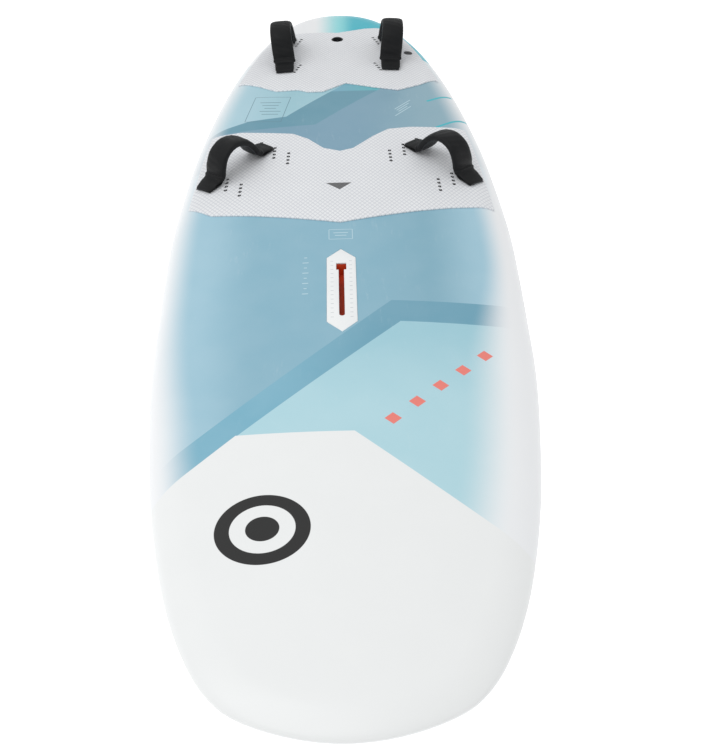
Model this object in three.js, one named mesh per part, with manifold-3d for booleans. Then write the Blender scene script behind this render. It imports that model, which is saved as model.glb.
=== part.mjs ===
// Windsurf board: a foam core between two sandwich skins, with deck pads, a mast track,
// four footstraps on screw-in inserts, a fin held by one bolt, and a vent plug.
//
// Millimetres, +Z up. The origin is the middle of the flat planing bottom, 1 m from the tail.
// +Y runs to the tail, +X to port. Places along the board are given as "t", the distance from
// the tail tip, and across it as "x", the distance from the centre line.

import * as THREE from 'three';
import { mergeVertices } from 'three/addons/utils/BufferGeometryUtils.js';
import Module from 'manifold-3d';

const wasm = await Module();
wasm.setup();

// ---------------------------------------------------------------- driving dimensions

const LENGTH = 2350;
const ORIGIN_T = 1000;            // distance of the origin from the tail tip
const GAP = 0.3;                  // clearance between pieces that touch
const SEAM = 1;                   // bond line round the rail, and between skin and core

// Half width of the outline at places along the board: [t, half width]
const OUTLINE = [[0, 0], [40, 91], [120, 150.5], [305, 233], [600, 302], [900, 344], [1200, 362],
  [1500, 357], [1800, 328], [2045, 281], [2200, 229], [2290, 172], [LENGTH, 0]];
// Thickness on the centre line: [t, thickness]
const THICKNESS = [[0, 40], [100, 65], [300, 85], [700, 115], [1200, 128], [1600, 122],
  [2000, 95], [2250, 55], [LENGTH, 30]];

const ROCKER_START = 1150;        // the bottom is flat from the tail to here
const SCOOP = 183;                // rise of the bottom at the nose
const ROCKER_POWER = 2.3;
const DECK_DOME = 28 / 362 ** 2;  // the deck falls 28 mm from the centre line to the widest rail
const DECK_RAIL = 60;             // width of the rail's round on the deck side
const BOTTOM_RAIL = 55;           // and on the bottom side
const SKIN = 5;                   // glass and foam sandwich skin

const STATIONS = 24;              // hull rings from tail to nose
const ACROSS = 14;                // hull points from rail to rail

const PAD_THICKNESS = 3.3;
const PAD_TOP = SEAM + GAP + PAD_THICKNESS;
const PAD_INSET = 28;             // from the rail to the side edge of a pad

const TRACK = { tail: 1287, nose: 1449, width: 10.5, lip: 14, channel: 22, depth: 13 };
const TRACK_MOUTH = { length: 22, width: 20 };
const TRACK_BOX = { length: 206, width: 46, height: 58 };
const TRACK_PLATE = { tail: 1236, nose: 1496, shoulder: 30, halfWidth: 29, thickness: 4, proud: 1 };

const BOLT_T = 254;               // the fin bolt, from the tail tip
const SLEEVE = { radius: 15.5, recess: 12, bottom: 60 + GAP, floor: 6 };
const FIN_BOX = { tail: 170, nose: 340, width: 46, height: 60 };
const FIN_WELL = { length: 124, width: 17.4, taper: 3, depth: 46 };
const FIN_BASE = { centreT: 255, length: 123, width: 16.6, bottom: -3, top: 44.5 };
const FIN_TONGUE = { length: 90, width: 7, height: 12 };
const FIN = { depth: 420, rootChord: 118, tipChord: 46, rake: 92, thickness: 0.09 };
const BARREL = { radius: 6, length: 13, z: 25 };
const BOLT = { radius: 3, bottom: 16, headRadius: 6.5, headHeight: 6, socket: 2.6 };
const WASHER = { radius: 9, hole: 3.6, thickness: 1.5 };

const VENT = { x: 185, t: 340, flange: 11, body: 8, depth: 24, thread: 4, head: 7.5 };

const INSERT = { length: 62, width: 18, height: 28, pitch: 14.5, holes: 4, hole: 4.6, holeDepth: 22, sunk: 0.6 };
// The strap inserts on the port side: first place, step to the next one outboard, turn of the
// row, and the hole that holds the strap's screw, counted from the tail and starting at 0
const INSERT_ROWS = {
  front_tail: { x: 115, t: 888, stepX: 32, stepT: -28, count: 3, turn: 2, screwIn: 3 },
  front_nose: { x: 217, t: 1003, stepX: 32, stepT: -27, count: 3, turn: 2, screwIn: 3 },
  rear_tail: { x: 103, t: 264, stepX: 28.5, stepT: -9, count: 2, turn: 18, screwIn: 2 },
  rear_nose: { x: 103, t: 432, stepX: 28.5, stepT: -9, count: 2, turn: 18, screwIn: 2 },
};

const STRAP = { webWidth: 44, webThickness: 3, coverWidth: 55, coverThickness: 14, slot: 4.2, tab: 26 };
const STRAP_RISE = { front: 71, rear: 82 };
const STRAP_SKEW = { front: 0.2, rear: 0 };   // shift of the arch to the nose foot, per height
const STRAP_LEAN = { front: 0, rear: 0.12 };  // shift of the arch outboard, per height
const FLAP = { width: 49, thickness: 4 };
const SCREW_CLEAR = 0.5;
const SCREW = { head: 8, headHeight: 3, shank: 2.9, length: 22, lift: 1.3 };

// ---------------------------------------------------------------- small helpers

// A smooth curve through [place, value] pairs that never overshoots them (monotone cubic).
function smoothThrough(pairs) {
  const xs = pairs.map((pair) => pair[0]);
  const ys = pairs.map((pair) => pair[1]);
  const last = xs.length - 1;
  const step = xs.slice(1).map((x, i) => x - xs[i]);
  const slope = step.map((h, i) => (ys[i + 1] - ys[i]) / h);
  const tangent = xs.map((_, i) => {
    if (i === 0) return slope[0];
    if (i === last) return slope[last - 1];
    if (slope[i - 1] * slope[i] <= 0) return 0;
    const before = 2 * step[i] + step[i - 1];
    const after = step[i] + 2 * step[i - 1];
    return (before + after) / (before / slope[i - 1] + after / slope[i]);
  });
  return (x) => {
    const place = THREE.MathUtils.clamp(x, xs[0], xs[last]);
    const i = Math.max(0, Math.min(last - 1, xs.findIndex((knot) => knot > place) - 1));
    const k = place === xs[last] ? last - 1 : i;
    const s = (place - xs[k]) / step[k];
    return ys[k] * (1 + 2 * s) * (1 - s) ** 2 + step[k] * tangent[k] * s * (1 - s) ** 2
      + ys[k + 1] * s * s * (3 - 2 * s) + step[k] * tangent[k + 1] * s * s * (s - 1);
  };
}

const toY = (t) => ORIGIN_T - t;
const at = (x, t, z) => new THREE.Vector3(x, toY(t), z);

// Six times the volume inside the faces, negative where they point inwards.
function signedVolume(points, faces) {
  const corner = (i) => new THREE.Vector3(...points.slice(3 * faces[i], 3 * faces[i] + 3));
  let volume = 0;
  for (let i = 0; i < faces.length; i += 3) {
    volume += corner(i).dot(corner(i + 1).cross(corner(i + 2)));
  }
  return volume;
}

// Turns a closed geometry into a solid that can be joined and cut.
function solid(geometry) {
  const plain = geometry.clone();
  plain.deleteAttribute('normal');
  plain.deleteAttribute('uv');
  const merged = mergeVertices(plain, 1e-4);
  const corners = merged.index.array;
  const kept = [];
  for (let i = 0; i < corners.length; i += 3) {
    const [a, b, c] = corners.slice(i, i + 3);
    if (a !== b && b !== c && c !== a) kept.push(a, b, c);
  }
  const points = merged.getAttribute('position').array;
  if (signedVolume(points, kept) < 0) kept.reverse();
  const mesh = new wasm.Mesh({
    numProp: 3,
    vertProperties: new Float32Array(points),
    triVerts: new Uint32Array(kept),
  });
  mesh.merge();
  return new wasm.Manifold(mesh);
}

function geometryOf(shape) {
  const mesh = shape.getMesh();
  const geometry = new THREE.BufferGeometry();
  geometry.setAttribute('position', new THREE.BufferAttribute(mesh.vertProperties, 3));
  geometry.setIndex(new THREE.BufferAttribute(mesh.triVerts, 1));
  geometry.computeVertexNormals();
  return geometry;
}

// Skins a closed body over rings of points. Its ends are capped, closed on each other
// (looped), or left to close on themselves where the end rings shrink to a line.
function loft(rings, ends) {
  const count = rings[0].length;
  const points = rings.flat().flatMap((p) => [p.x, p.y, p.z]);
  const faces = [];
  const spans = ends === 'looped' ? rings.length : rings.length - 1;
  for (let i = 0; i < spans; i += 1) {
    const here = i * count;
    const next = ((i + 1) % rings.length) * count;
    for (let k = 0; k < count; k += 1) {
      const k2 = (k + 1) % count;
      faces.push(here + k, here + k2, next + k2, here + k, next + k2, next + k);
    }
  }
  if (ends === 'capped') {
    const top = (rings.length - 1) * count;
    for (let k = 1; k < count - 1; k += 1) {
      faces.push(0, k + 1, k, top, top + k, top + k + 1);
    }
  }
  const geometry = new THREE.BufferGeometry();
  geometry.setAttribute('position', new THREE.Float32BufferAttribute(points, 3));
  geometry.setIndex(faces);
  return solid(geometry);
}

function block(sizeX, sizeY, sizeZ, x, y, z) {
  return solid(new THREE.BoxGeometry(sizeX, sizeY, sizeZ).translate(x, y, z));
}

// A round body about +Z from an outline of [radius, height] pairs that starts and ends on the
// axis, or closes on itself.
function turned(outline, sides, x, y, z) {
  const profile = outline.map(([radius, height]) => new THREE.Vector2(radius, height));
  return solid(new THREE.LatheGeometry(profile, sides).rotateX(Math.PI / 2).translate(x, y, z));
}

function rod(radius, bottom, top, sides, x, y) {
  return turned([[0, bottom], [radius, bottom], [radius, top], [0, top]], sides, x, y, 0);
}

// A closed outline in plan, carried straight up from bottom to top.
function prism(shape, bottom, top, segments) {
  const options = { depth: top - bottom, bevelEnabled: false, curveSegments: segments };
  return solid(new THREE.ExtrudeGeometry(shape, options).translate(0, 0, bottom));
}

const joined = (shapes) => shapes.reduce((whole, shape) => whole.add(shape));
const cut = (shape, tools) => tools.reduce((rest, tool) => rest.subtract(tool), shape);

// ---------------------------------------------------------------- hull surface

const squaredHalfWidth = smoothThrough(OUTLINE.map(([t, w]) => [t, w * w]));
const thicknessAt = smoothThrough(THICKNESS);
const halfWidthAt = (t) => Math.sqrt(Math.max(0, squaredHalfWidth(t)));

function bottomAt(t) {
  const along = Math.max(0, t - ROCKER_START) / (LENGTH - ROCKER_START);
  return SCOOP * along ** ROCKER_POWER;
}

// Distance in from the outline, exact on straight rails and smooth at both tips.
function insideBy(x, t) {
  const field = Math.max(0, squaredHalfWidth(t) - x * x);
  const alongSlope = (squaredHalfWidth(t + 1) - squaredHalfWidth(t - 1)) / 2;
  const half = Math.hypot(2 * x, alongSlope) / 2;
  return Math.sqrt(field + half * half) - half;
}

// Quarter round from 0 at the rail to 1 where the rail's round ends.
function railRound(distance, width) {
  const s = Math.min(1, distance / width);
  return Math.sqrt(1 - (1 - s) ** 2);
}

const railHeight = (t) => bottomAt(t) + thicknessAt(t) / 2;

function deckHeight(x, t) {
  const rise = thicknessAt(t) / 2 - DECK_DOME * x * x;
  return railHeight(t) + rise * railRound(insideBy(x, t), DECK_RAIL);
}

function bottomHeight(x, t) {
  return bottomAt(t) + (thicknessAt(t) / 2) * (1 - railRound(insideBy(x, t), BOTTOM_RAIL));
}

// The outward direction of the deck at a place.
function deckNormal(x, t) {
  const across = deckHeight(x + 1, t) - deckHeight(x - 1, t);
  const along = deckHeight(x, t - 1) - deckHeight(x, t + 1);
  return new THREE.Vector3(-across / 2, -along / 2, 1).normalize();
}

// One ring of the hull: deck points from rail to rail, then bottom points back again.
function hullRing(t) {
  const ring = [];
  for (let k = 0; k < 2 * ACROSS; k += 1) {
    const x = -halfWidthAt(t) * Math.cos((Math.PI * k) / ACROSS);
    const height = k <= ACROSS ? deckHeight(x, t) : bottomHeight(x, t);
    ring.push(at(x, t, height));
  }
  return ring;
}

function hullRings() {
  const rings = [];
  for (let i = 0; i <= STATIONS; i += 1) {
    rings.push(hullRing((LENGTH / 2) * (1 - Math.cos((Math.PI * i) / STATIONS))));
  }
  return rings;
}

// The same rings moved in by a depth, square to the surface.
function sunkRings(rings, depth) {
  const count = rings[0].length;
  return rings.map((ring, i) => ring.map((point, k) => {
    if (i === 0) return point.clone().add(new THREE.Vector3(0, -depth, 0));
    if (i === rings.length - 1) return point.clone().add(new THREE.Vector3(0, depth, 0));
    const along = rings[i + 1][k].clone().sub(rings[i - 1][k]);
    const around = ring[(k + 1) % count].clone().sub(ring[(k + count - 1) % count]);
    return point.clone().addScaledVector(along.cross(around).normalize(), -depth);
  }));
}

const OUTSIDE = hullRings();
const INSIDE = sunkRings(OUTSIDE, SKIN);

// A half skin: outer points one way and inner points back, so that each ring closes.
function halfSkin(indices, lift) {
  const rings = OUTSIDE.map((ring, i) => {
    const outer = indices.map((k) => ring[k]);
    const inner = indices.map((k) => INSIDE[i][k]).reverse();
    return [...outer, ...inner].map((p) => p.clone().add(new THREE.Vector3(0, 0, lift)));
  });
  return loft(rings, 'closed');
}

const DECK_POINTS = Array.from({ length: ACROSS + 1 }, (_, k) => k);
const BOTTOM_POINTS = DECK_POINTS.map((k) => (2 * ACROSS - k) % (2 * ACROSS));

// ---------------------------------------------------------------- strap inserts

// A local frame on top of the pads: z along the deck's outward direction, y towards the nose,
// turned outboard by a few degrees.
function deckFrame(x, t, turn) {
  const up = deckNormal(x, t);
  const outboard = THREE.MathUtils.degToRad(turn) * Math.sign(x);
  const nose = new THREE.Vector3(Math.sin(outboard), -Math.cos(outboard), 0);
  const side = new THREE.Vector3().crossVectors(nose, up).normalize();
  const ahead = new THREE.Vector3().crossVectors(up, side);
  return new THREE.Matrix4().makeBasis(side, ahead, up).setPosition(at(x, t, deckHeight(x, t) + PAD_TOP));
}

function insertPlaces() {
  const places = [];
  for (const [row, first] of Object.entries(INSERT_ROWS)) {
    for (let i = 0; i < first.count; i += 1) {
      for (const [side, sign] of [['port', 1], ['starboard', -1]]) {
        const x = sign * (first.x + i * first.stepX);
        const t = first.t + i * first.stepT;
        places.push({ name: `${row}_insert_${side}_${i + 1}`, frame: deckFrame(x, t, first.turn) });
      }
    }
  }
  return places;
}

const holeOffset = (i) => (i - (INSERT.holes - 1) / 2) * INSERT.pitch;

function insertBody(frame) {
  const { length, width, height, hole, holeDepth, sunk } = INSERT;
  let body = block(width, length, height - sunk, 0, 0, -(height + sunk) / 2);
  for (let i = 0; i < INSERT.holes; i += 1) {
    body = body.subtract(rod(hole, -holeDepth, 1, 6, 0, holeOffset(i)));
  }
  return body.transform(frame.elements);
}

function insertPocket(frame) {
  const { length, width, height } = INSERT;
  const above = 12;
  const tall = height + GAP + above;
  const pocket = block(width + 2 * GAP, length + 2 * GAP, tall, 0, 0, above - tall / 2);
  return pocket.transform(frame.elements);
}

const INSERTS = insertPlaces();
const INSERT_POCKETS = joined(INSERTS.map(({ frame }) => insertPocket(frame)));

// ---------------------------------------------------------------- mast track

// The plate and the box under it lie on the deck's slope, in a frame of their own:
// x across, y towards the tail, z square to the plate, with its top at z = 0.
const PLATE_CENTRE_T = (TRACK_PLATE.tail + TRACK_PLATE.nose) / 2;

function plateFrame() {
  const tail = at(0, TRACK_PLATE.tail, deckHeight(0, TRACK_PLATE.tail) + TRACK_PLATE.proud);
  const nose = at(0, TRACK_PLATE.nose, deckHeight(0, TRACK_PLATE.nose) + TRACK_PLATE.proud);
  const side = new THREE.Vector3(1, 0, 0);
  const aft = tail.clone().sub(nose).normalize();
  const up = new THREE.Vector3().crossVectors(side, aft);
  return new THREE.Matrix4().makeBasis(side, aft, up).setPosition(tail.add(nose).multiplyScalar(0.5));
}

const PLATE_FRAME = plateFrame();
const plateY = (t) => PLATE_CENTRE_T - t;

// A long hexagon with its points fore and aft.
function plateOutline(grow) {
  const { tail, nose, shoulder, halfWidth } = TRACK_PLATE;
  const half = (nose - tail) / 2 + grow;
  const side = halfWidth + grow;
  return new THREE.Shape([
    new THREE.Vector2(0, half),
    new THREE.Vector2(-side, half - shoulder),
    new THREE.Vector2(-side, shoulder - half),
    new THREE.Vector2(0, -half),
    new THREE.Vector2(side, shoulder - half),
    new THREE.Vector2(side, half - shoulder),
  ]);
}

// The slot is a straight run with round ends, and a square mouth at its tail end.
function slotTool(width, bottom, top) {
  const radius = width / 2;
  const aft = plateY(TRACK.tail) - radius;
  const fore = plateY(TRACK.nose) + radius;
  const outline = new THREE.Shape();
  outline.absarc(0, aft, radius, 0, Math.PI);
  outline.absarc(0, fore, radius, Math.PI, 2 * Math.PI);
  return prism(outline, bottom, top, 5);
}

function mouthTool(bottom, top) {
  const centre = plateY(TRACK.tail) - TRACK_MOUTH.length / 2 + 4;
  return block(TRACK_MOUTH.width, TRACK_MOUTH.length, top - bottom, 0, centre, (bottom + top) / 2);
}

function mastTrackPlate() {
  const plate = prism(plateOutline(0), -TRACK_PLATE.thickness, 0, 1);
  return cut(plate, [slotTool(TRACK.width, -10, 5), mouthTool(-10, 5)]).transform(PLATE_FRAME.elements);
}

function mastTrackBox() {
  const top = -TRACK_PLATE.thickness - GAP;
  const under = top - TRACK.lip;
  const { length, width, height } = TRACK_BOX;
  const body = block(width, length, height, 0, 0, top - height / 2);
  const slot = slotTool(TRACK.width, under - 1, 5);
  const channel = slotTool(TRACK.channel, under - TRACK.depth, under);
  const mouth = mouthTool(under - TRACK.depth, 5);
  return cut(body, [slot, channel, mouth]).transform(PLATE_FRAME.elements);
}

function trackPockets() {
  const skinCut = prism(plateOutline(GAP), -20, 20, 1);
  const { length, width, height } = TRACK_BOX;
  const tall = height + GAP + 20;
  const boxCut = block(width + 2 * GAP, length + 2 * GAP, tall, 0, 0, 15 - tall / 2);
  return [skinCut, boxCut].map((tool) => tool.transform(PLATE_FRAME.elements));
}

const [PLATE_POCKET, TRACK_BOX_POCKET] = trackPockets();

// ---------------------------------------------------------------- fin and its box

const FIN_BOX_CENTRE = toY((FIN_BOX.tail + FIN_BOX.nose) / 2);
const FIN_BOX_LENGTH = FIN_BOX.nose - FIN_BOX.tail;
const BOLT_Y = toY(BOLT_T);

// A block that narrows upwards, as the fin's base and its well do.
function taperedBlock(length, width, taper, bottom, top, y) {
  const ring = (shrink, z) => [[1, 1], [-1, 1], [-1, -1], [1, -1]].map(
    ([sx, sy]) => new THREE.Vector3((sx * (width - shrink)) / 2, y + (sy * (length - shrink)) / 2, z),
  );
  return loft([ring(0, bottom), ring(taper, top)], 'capped');
}

function finBox() {
  const body = block(FIN_BOX.width, FIN_BOX_LENGTH, FIN_BOX.height, 0, FIN_BOX_CENTRE, FIN_BOX.height / 2);
  const wellY = toY(FIN_BASE.centreT);
  const { length, width, taper, depth } = FIN_WELL;
  const well = taperedBlock(length, width, taper, 0, depth, wellY);
  const mouth = block(width, length, 4, 0, wellY, -2);
  const boltHole = rod(4.2, FIN_WELL.depth - 2, FIN_BOX.height + 2, 10, 0, BOLT_Y);
  return cut(body, [well, mouth, boltHole]);
}

function finBoxPocket() {
  const tall = FIN_BOX.height + GAP + 10;
  const length = FIN_BOX_LENGTH + 2 * GAP;
  return block(FIN_BOX.width + 2 * GAP, length, tall, 0, FIN_BOX_CENTRE, FIN_BOX.height + GAP - tall / 2);
}

function finBase() {
  const { centreT, length, width, bottom, top } = FIN_BASE;
  const y = toY(centreT);
  const body = taperedBlock(length, width, FIN_WELL.taper, bottom, top, y);
  const { length: tongue, width: thick, height } = FIN_TONGUE;
  const slot = block(thick + 2 * GAP, tongue + 2 * GAP, 2 * (height + GAP), 0, y, bottom);
  const boltHole = rod(4, BOLT.bottom - 2, top + 2, 10, 0, BOLT_Y);
  const cross = new THREE.CylinderGeometry(BARREL.radius + 0.4, BARREL.radius + 0.4, 40, 12);
  const nutHole = solid(cross.rotateZ(Math.PI / 2).translate(0, BOLT_Y, BARREL.z));
  return cut(body, [slot, boltHole, nutHole]);
}

// Half thickness of a symmetric foil at a fraction of its chord, as a fraction of the chord.
function foilHalf(s) {
  return 5 * FIN.thickness
    * (0.2969 * Math.sqrt(s) - 0.126 * s - 0.3516 * s ** 2 + 0.2843 * s ** 3 - 0.1036 * s ** 4);
}

// One foil section of the blade at a share of its depth: the chord shrinks towards a round tip
// and slides aft along the rake.
function bladeSection(share) {
  const straight = FIN.rootChord + (FIN.tipChord - FIN.rootChord) * share;
  const chord = straight * Math.sqrt(1 - 0.72 * share ** 6);
  const leading = toY(FIN_BASE.centreT + FIN.rootChord / 2) + FIN.rake * share ** 1.5
    + (straight - chord) * 0.6;
  const z = FIN_BASE.bottom - GAP - FIN.depth * share;
  const along = [0, 0.04, 0.14, 0.32, 0.55, 0.8, 1];
  const side = (sign, steps) => steps.map(
    (s) => new THREE.Vector3(sign * chord * foilHalf(s), leading + chord * s, z),
  );
  return [...side(1, along), ...side(-1, along.slice(1, -1)).reverse()];
}

function finBlade() {
  const shares = [0, 0.2, 0.4, 0.6, 0.78, 0.9, 0.97, 1];
  const blade = loft(shares.map(bladeSection), 'capped');
  const { length, width, height } = FIN_TONGUE;
  const root = FIN_BASE.bottom - GAP;
  const tongueTop = FIN_BASE.bottom + height;
  const centre = (root - 6 + tongueTop) / 2;
  const tongue = block(width, length, tongueTop - root + 6, 0, toY(FIN_BASE.centreT), centre);
  return blade.add(tongue);
}

function barrelNut() {
  const pin = new THREE.CylinderGeometry(BARREL.radius, BARREL.radius, BARREL.length, 12);
  const body = solid(pin.rotateZ(Math.PI / 2).translate(0, BOLT_Y, BARREL.z));
  return body.subtract(rod(BOLT.radius + GAP + 0.1, 0, 60, 10, 0, BOLT_Y));
}

const DECK_AT_BOLT = deckHeight(0, BOLT_T) + PAD_TOP;
const WASHER_BOTTOM = SLEEVE.bottom + SLEEVE.floor + GAP;
const BOLT_HEAD_BOTTOM = WASHER_BOTTOM + WASHER.thickness + GAP;

function finBoltSleeve() {
  const floor = SLEEVE.bottom + SLEEVE.floor;
  return turned([
    [4.4, SLEEVE.bottom], [SLEEVE.radius, SLEEVE.bottom], [SLEEVE.radius, DECK_AT_BOLT],
    [SLEEVE.recess, DECK_AT_BOLT], [SLEEVE.recess, floor], [4.4, floor], [4.4, SLEEVE.bottom],
  ], 20, 0, BOLT_Y, 0);
}

function finBoltWasher() {
  const { radius, hole, thickness } = WASHER;
  return turned([
    [hole, 0], [radius, 0], [radius, thickness], [hole, thickness], [hole, 0],
  ], 16, 0, BOLT_Y, WASHER_BOTTOM);
}

function finBolt() {
  const head = BOLT_HEAD_BOTTOM;
  const top = head + BOLT.headHeight;
  const body = turned([
    [0, BOLT.bottom], [BOLT.radius, BOLT.bottom], [BOLT.radius, head], [BOLT.headRadius, head],
    [BOLT.headRadius, top], [0, top],
  ], 12, 0, BOLT_Y, 0);
  return body.subtract(rod(BOLT.socket, top - 3.5, top + 1, 6, 0, BOLT_Y));
}

// ---------------------------------------------------------------- vent

const VENT_FRAME = deckFrame(VENT.x, VENT.t, 0);

function ventBushing() {
  const top = 0.6;
  return turned([
    [VENT.thread + GAP, 4 - VENT.depth], [VENT.thread + GAP, -4.5], [VENT.head + 0.6, -4.5],
    [VENT.head + 0.6, top], [VENT.flange, top], [VENT.flange, -5], [VENT.body, -5],
    [VENT.body, -VENT.depth], [0, -VENT.depth], [0, 4 - VENT.depth], [VENT.thread + GAP, 4 - VENT.depth],
  ], 12, 0, 0, 0).transform(VENT_FRAME.elements);
}

function ventScrew() {
  const body = turned([
    [0, 6 - VENT.depth], [VENT.thread - 0.2, 6 - VENT.depth], [VENT.thread - 0.2, -2.4],
    [VENT.head, -2.4], [VENT.head, 0.4], [0, 0.4],
  ], 12, 0, 0, 0);
  return body.subtract(block(2, 11, 3, 0, 0, 0.4)).transform(VENT_FRAME.elements);
}

function ventORing() {
  const inner = VENT.thread + 0.2;
  return turned([
    [inner, -4.2], [inner + 2, -4.2], [inner + 2, -2.7], [inner, -2.7], [inner, -4.2],
  ], 12, 0, 0, 0).transform(VENT_FRAME.elements);
}

function ventPocket() {
  const flange = rod(VENT.flange + GAP, -5 - GAP, 12, 12, 0, 0);
  const body = rod(VENT.body + GAP, -VENT.depth - GAP, 0, 12, 0, 0);
  return flange.add(body).transform(VENT_FRAME.elements);
}

// ---------------------------------------------------------------- deck pads

// A blank that lies on the whole deck with a small gap under it.
function padBlank() {
  const rings = OUTSIDE.map((ring) => {
    const under = DECK_POINTS.map((k) => ring[k].clone().add(new THREE.Vector3(0, 0, SEAM + GAP)));
    const over = DECK_POINTS.map((k) => ring[k].clone().add(new THREE.Vector3(0, 0, PAD_TOP)));
    return [...under, ...over.reverse()];
  });
  return loft(rings, 'closed');
}

// Points of a pad's port edge, a set distance in from the rail, from one place to another.
function sideEdge(fromT, toT, steps) {
  return Array.from({ length: steps + 1 }, (_, i) => {
    const t = fromT + ((toT - fromT) * i) / steps;
    return new THREE.Vector2(halfWidthAt(t) - PAD_INSET, toY(t));
  });
}

// A symmetric pad from the points of its port half, listed from the centre of its tail edge
// round to the centre of its nose edge.
function padShape(half) {
  const other = half.slice(1, -1).map((p) => new THREE.Vector2(-p.x, p.y)).reverse();
  return new THREE.Shape([...half, ...other]);
}

const plan = (pairs) => pairs.map(([x, t]) => new THREE.Vector2(x, toY(t)));

// The wave in the front pad's tail edge: a round bay on the centre line.
function bayEdge(depth, halfBay, base) {
  return [0, 0.25, 0.5, 0.75, 1].map((s) => [s * halfBay, base + depth * Math.cos((Math.PI / 2) * s) ** 2]);
}

function rearPad() {
  return padShape([
    ...plan([[0, 206], [40, 192], [75, 178], [105, 174]]),
    ...sideEdge(200, 480, 5),
    ...plan([[222, 518], [190, 545], [150, 562], [95, 562], [60, 560], [28, 545], [0, 530]]),
  ]);
}

function frontPad() {
  return padShape([
    ...plan(bayEdge(115, 135, 750)),
    ...plan([[225, 749], [270, 756]]),
    ...sideEdge(800, 1040, 4),
    ...plan([[316, 1068], [250, 1090], [160, 1106], [0, 1146]]),
  ]);
}

function deckPad(shape, extraCuts) {
  const sheet = padBlank().intersect(prism(shape, -50, 400, 1));
  return cut(sheet, [INSERT_POCKETS, ...extraCuts]);
}

// ---------------------------------------------------------------- footstraps

const WEB_CLEAR = 1.1;            // height of the webbing's underside over the pads
const WEB_LIFT = WEB_CLEAR + STRAP.webThickness / 2;
const STRAP_STEPS = 20;           // rings of the webbing from tip to tip
const COVER_STEPS = [3, 17];      // the rings that the cover wraps

// A strap stands between two feet. In its own plane, u runs along the line between the feet
// and h is the height above the pads; v is the direction across the strap.
function strapFrame(footA, footB, lean) {
  const a = new THREE.Vector2(footA.x, footA.y);
  const b = new THREE.Vector2(footB.x, footB.y);
  const along = b.clone().sub(a).normalize();
  return {
    span: a.distanceTo(b),
    place(u, v, h) {
      const across = v + lean * Math.max(0, h);
      const x = (a.x + b.x) / 2 + along.x * u - along.y * across;
      const y = (a.y + b.y) / 2 + along.y * u + along.x * across;
      return new THREE.Vector3(x, y, deckHeight(x, ORIGIN_T - y) + PAD_TOP + h);
    },
  };
}

// The middle line of the strap: flat on each foot, steep limbs, and a round top.
function strapPath(span, rise, skew) {
  const half = span / 2;
  const side = [[half + STRAP.tab, 0.5], [half + 6, 0], [half - 9, 0.4], [half - 19, 7], [half - 29, 37],
    [half - 49, 0.86 * rise]];
  const points = [
    ...side.map(([u, h]) => new THREE.Vector3(skew * h - u, 0, h)),
    new THREE.Vector3(skew * rise, 0, rise),
    ...side.map(([u, h]) => new THREE.Vector3(skew * h + u, 0, h)).reverse(),
  ];
  return new THREE.CatmullRomCurve3(points, false, 'centripetal');
}

// Rings of a band along part of the path. The section is a flat bar, square or bevelled.
function bandRings(frame, path, from, to, section) {
  const rings = [];
  for (let i = from; i <= to; i += 1) {
    const s = i / STRAP_STEPS;
    const centre = path.getPointAt(s);
    const heading = path.getTangentAt(s);
    const normal = new THREE.Vector2(-heading.z, heading.x);
    const { width, thickness, bevel } = section(s);
    const w = width / 2;
    const h = thickness / 2;
    const square = [[-w, -h], [-w, h], [w, h], [w, -h]];
    const bevelled = [[-w, bevel - h], [-w, h - bevel], [bevel - w, h], [w - bevel, h],
      [w, h - bevel], [w, bevel - h], [w - bevel, -h], [bevel - w, -h]];
    const corners = bevel === 0 ? square : bevelled;
    rings.push(corners.map(([v, a]) => frame.place(
      centre.x + normal.x * (a + WEB_LIFT),
      v,
      centre.z + normal.y * (a + WEB_LIFT),
    )));
  }
  return rings;
}

function strapWebbing(frame, path, feet) {
  const section = () => ({ width: STRAP.webWidth, thickness: STRAP.webThickness, bevel: 0 });
  const band = loft(bandRings(frame, path, 0, STRAP_STEPS, section), 'capped');
  return cut(band, feet.map((foot) => screwHole(foot)));
}

function screwHole(foot) {
  return rod(SCREW.shank + SCREW_CLEAR, -5, 12, 8, 0, 0).transform(foot.elements);
}

// The padded cover: a sleeve round the webbing, with a flap over the screw at each end.
function strapCover(frame, path) {
  const [from, to] = COVER_STEPS;
  const full = (s) => Math.sqrt(Math.abs(Math.sin((Math.PI * (s * STRAP_STEPS - from)) / (to - from))));
  const outer = (s) => ({
    width: STRAP.coverWidth - 4 + 4 * full(s),
    thickness: STRAP.coverThickness - 3 + 3 * full(s),
    bevel: 3.5,
  });
  const inner = () => ({ width: STRAP.webWidth + 1.2, thickness: STRAP.slot, bevel: 1 });
  const shell = bandRings(frame, path, from, to, outer);
  const slot = bandRings(frame, path, from, to, inner);
  const sleeve = loft([...shell, ...slot.reverse()], 'looped');
  return joined([sleeve, strapFlap(frame, path, 1), strapFlap(frame, path, -1)]);
}

// A flap from inside the sleeve's upper wall to the strap's tip, raised over the screw head.
function strapFlap(frame, path, end) {
  const half = frame.span / 2;
  const stops = [[half + STRAP.tab, 4.6], [half + 13, 6.2], [half + 9, 10], [half - 8, 10.4]];
  const line = stops.map(([u, h]) => [u * end, h]);
  const share = (end > 0 ? COVER_STEPS[1] - 0.5 : COVER_STEPS[0] + 0.5) / STRAP_STEPS;
  const centre = path.getPointAt(share);
  const heading = path.getTangentAt(share);
  const raise = WEB_LIFT + STRAP.slot / 2 + 0.6;
  line.push([centre.x - heading.z * raise, centre.z + heading.x * raise]);
  const w = FLAP.width / 2;
  const rings = line.map(([u, h], i) => {
    const width = i === 0 ? w - 4 : w;
    const tall = i === line.length - 1 ? 1.6 : FLAP.thickness;
    return [[-width, 0], [width, 0], [width, tall], [-width, tall]].map(([v, a]) => frame.place(u, v, h + a));
  });
  return loft(rings, 'capped');
}

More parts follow.
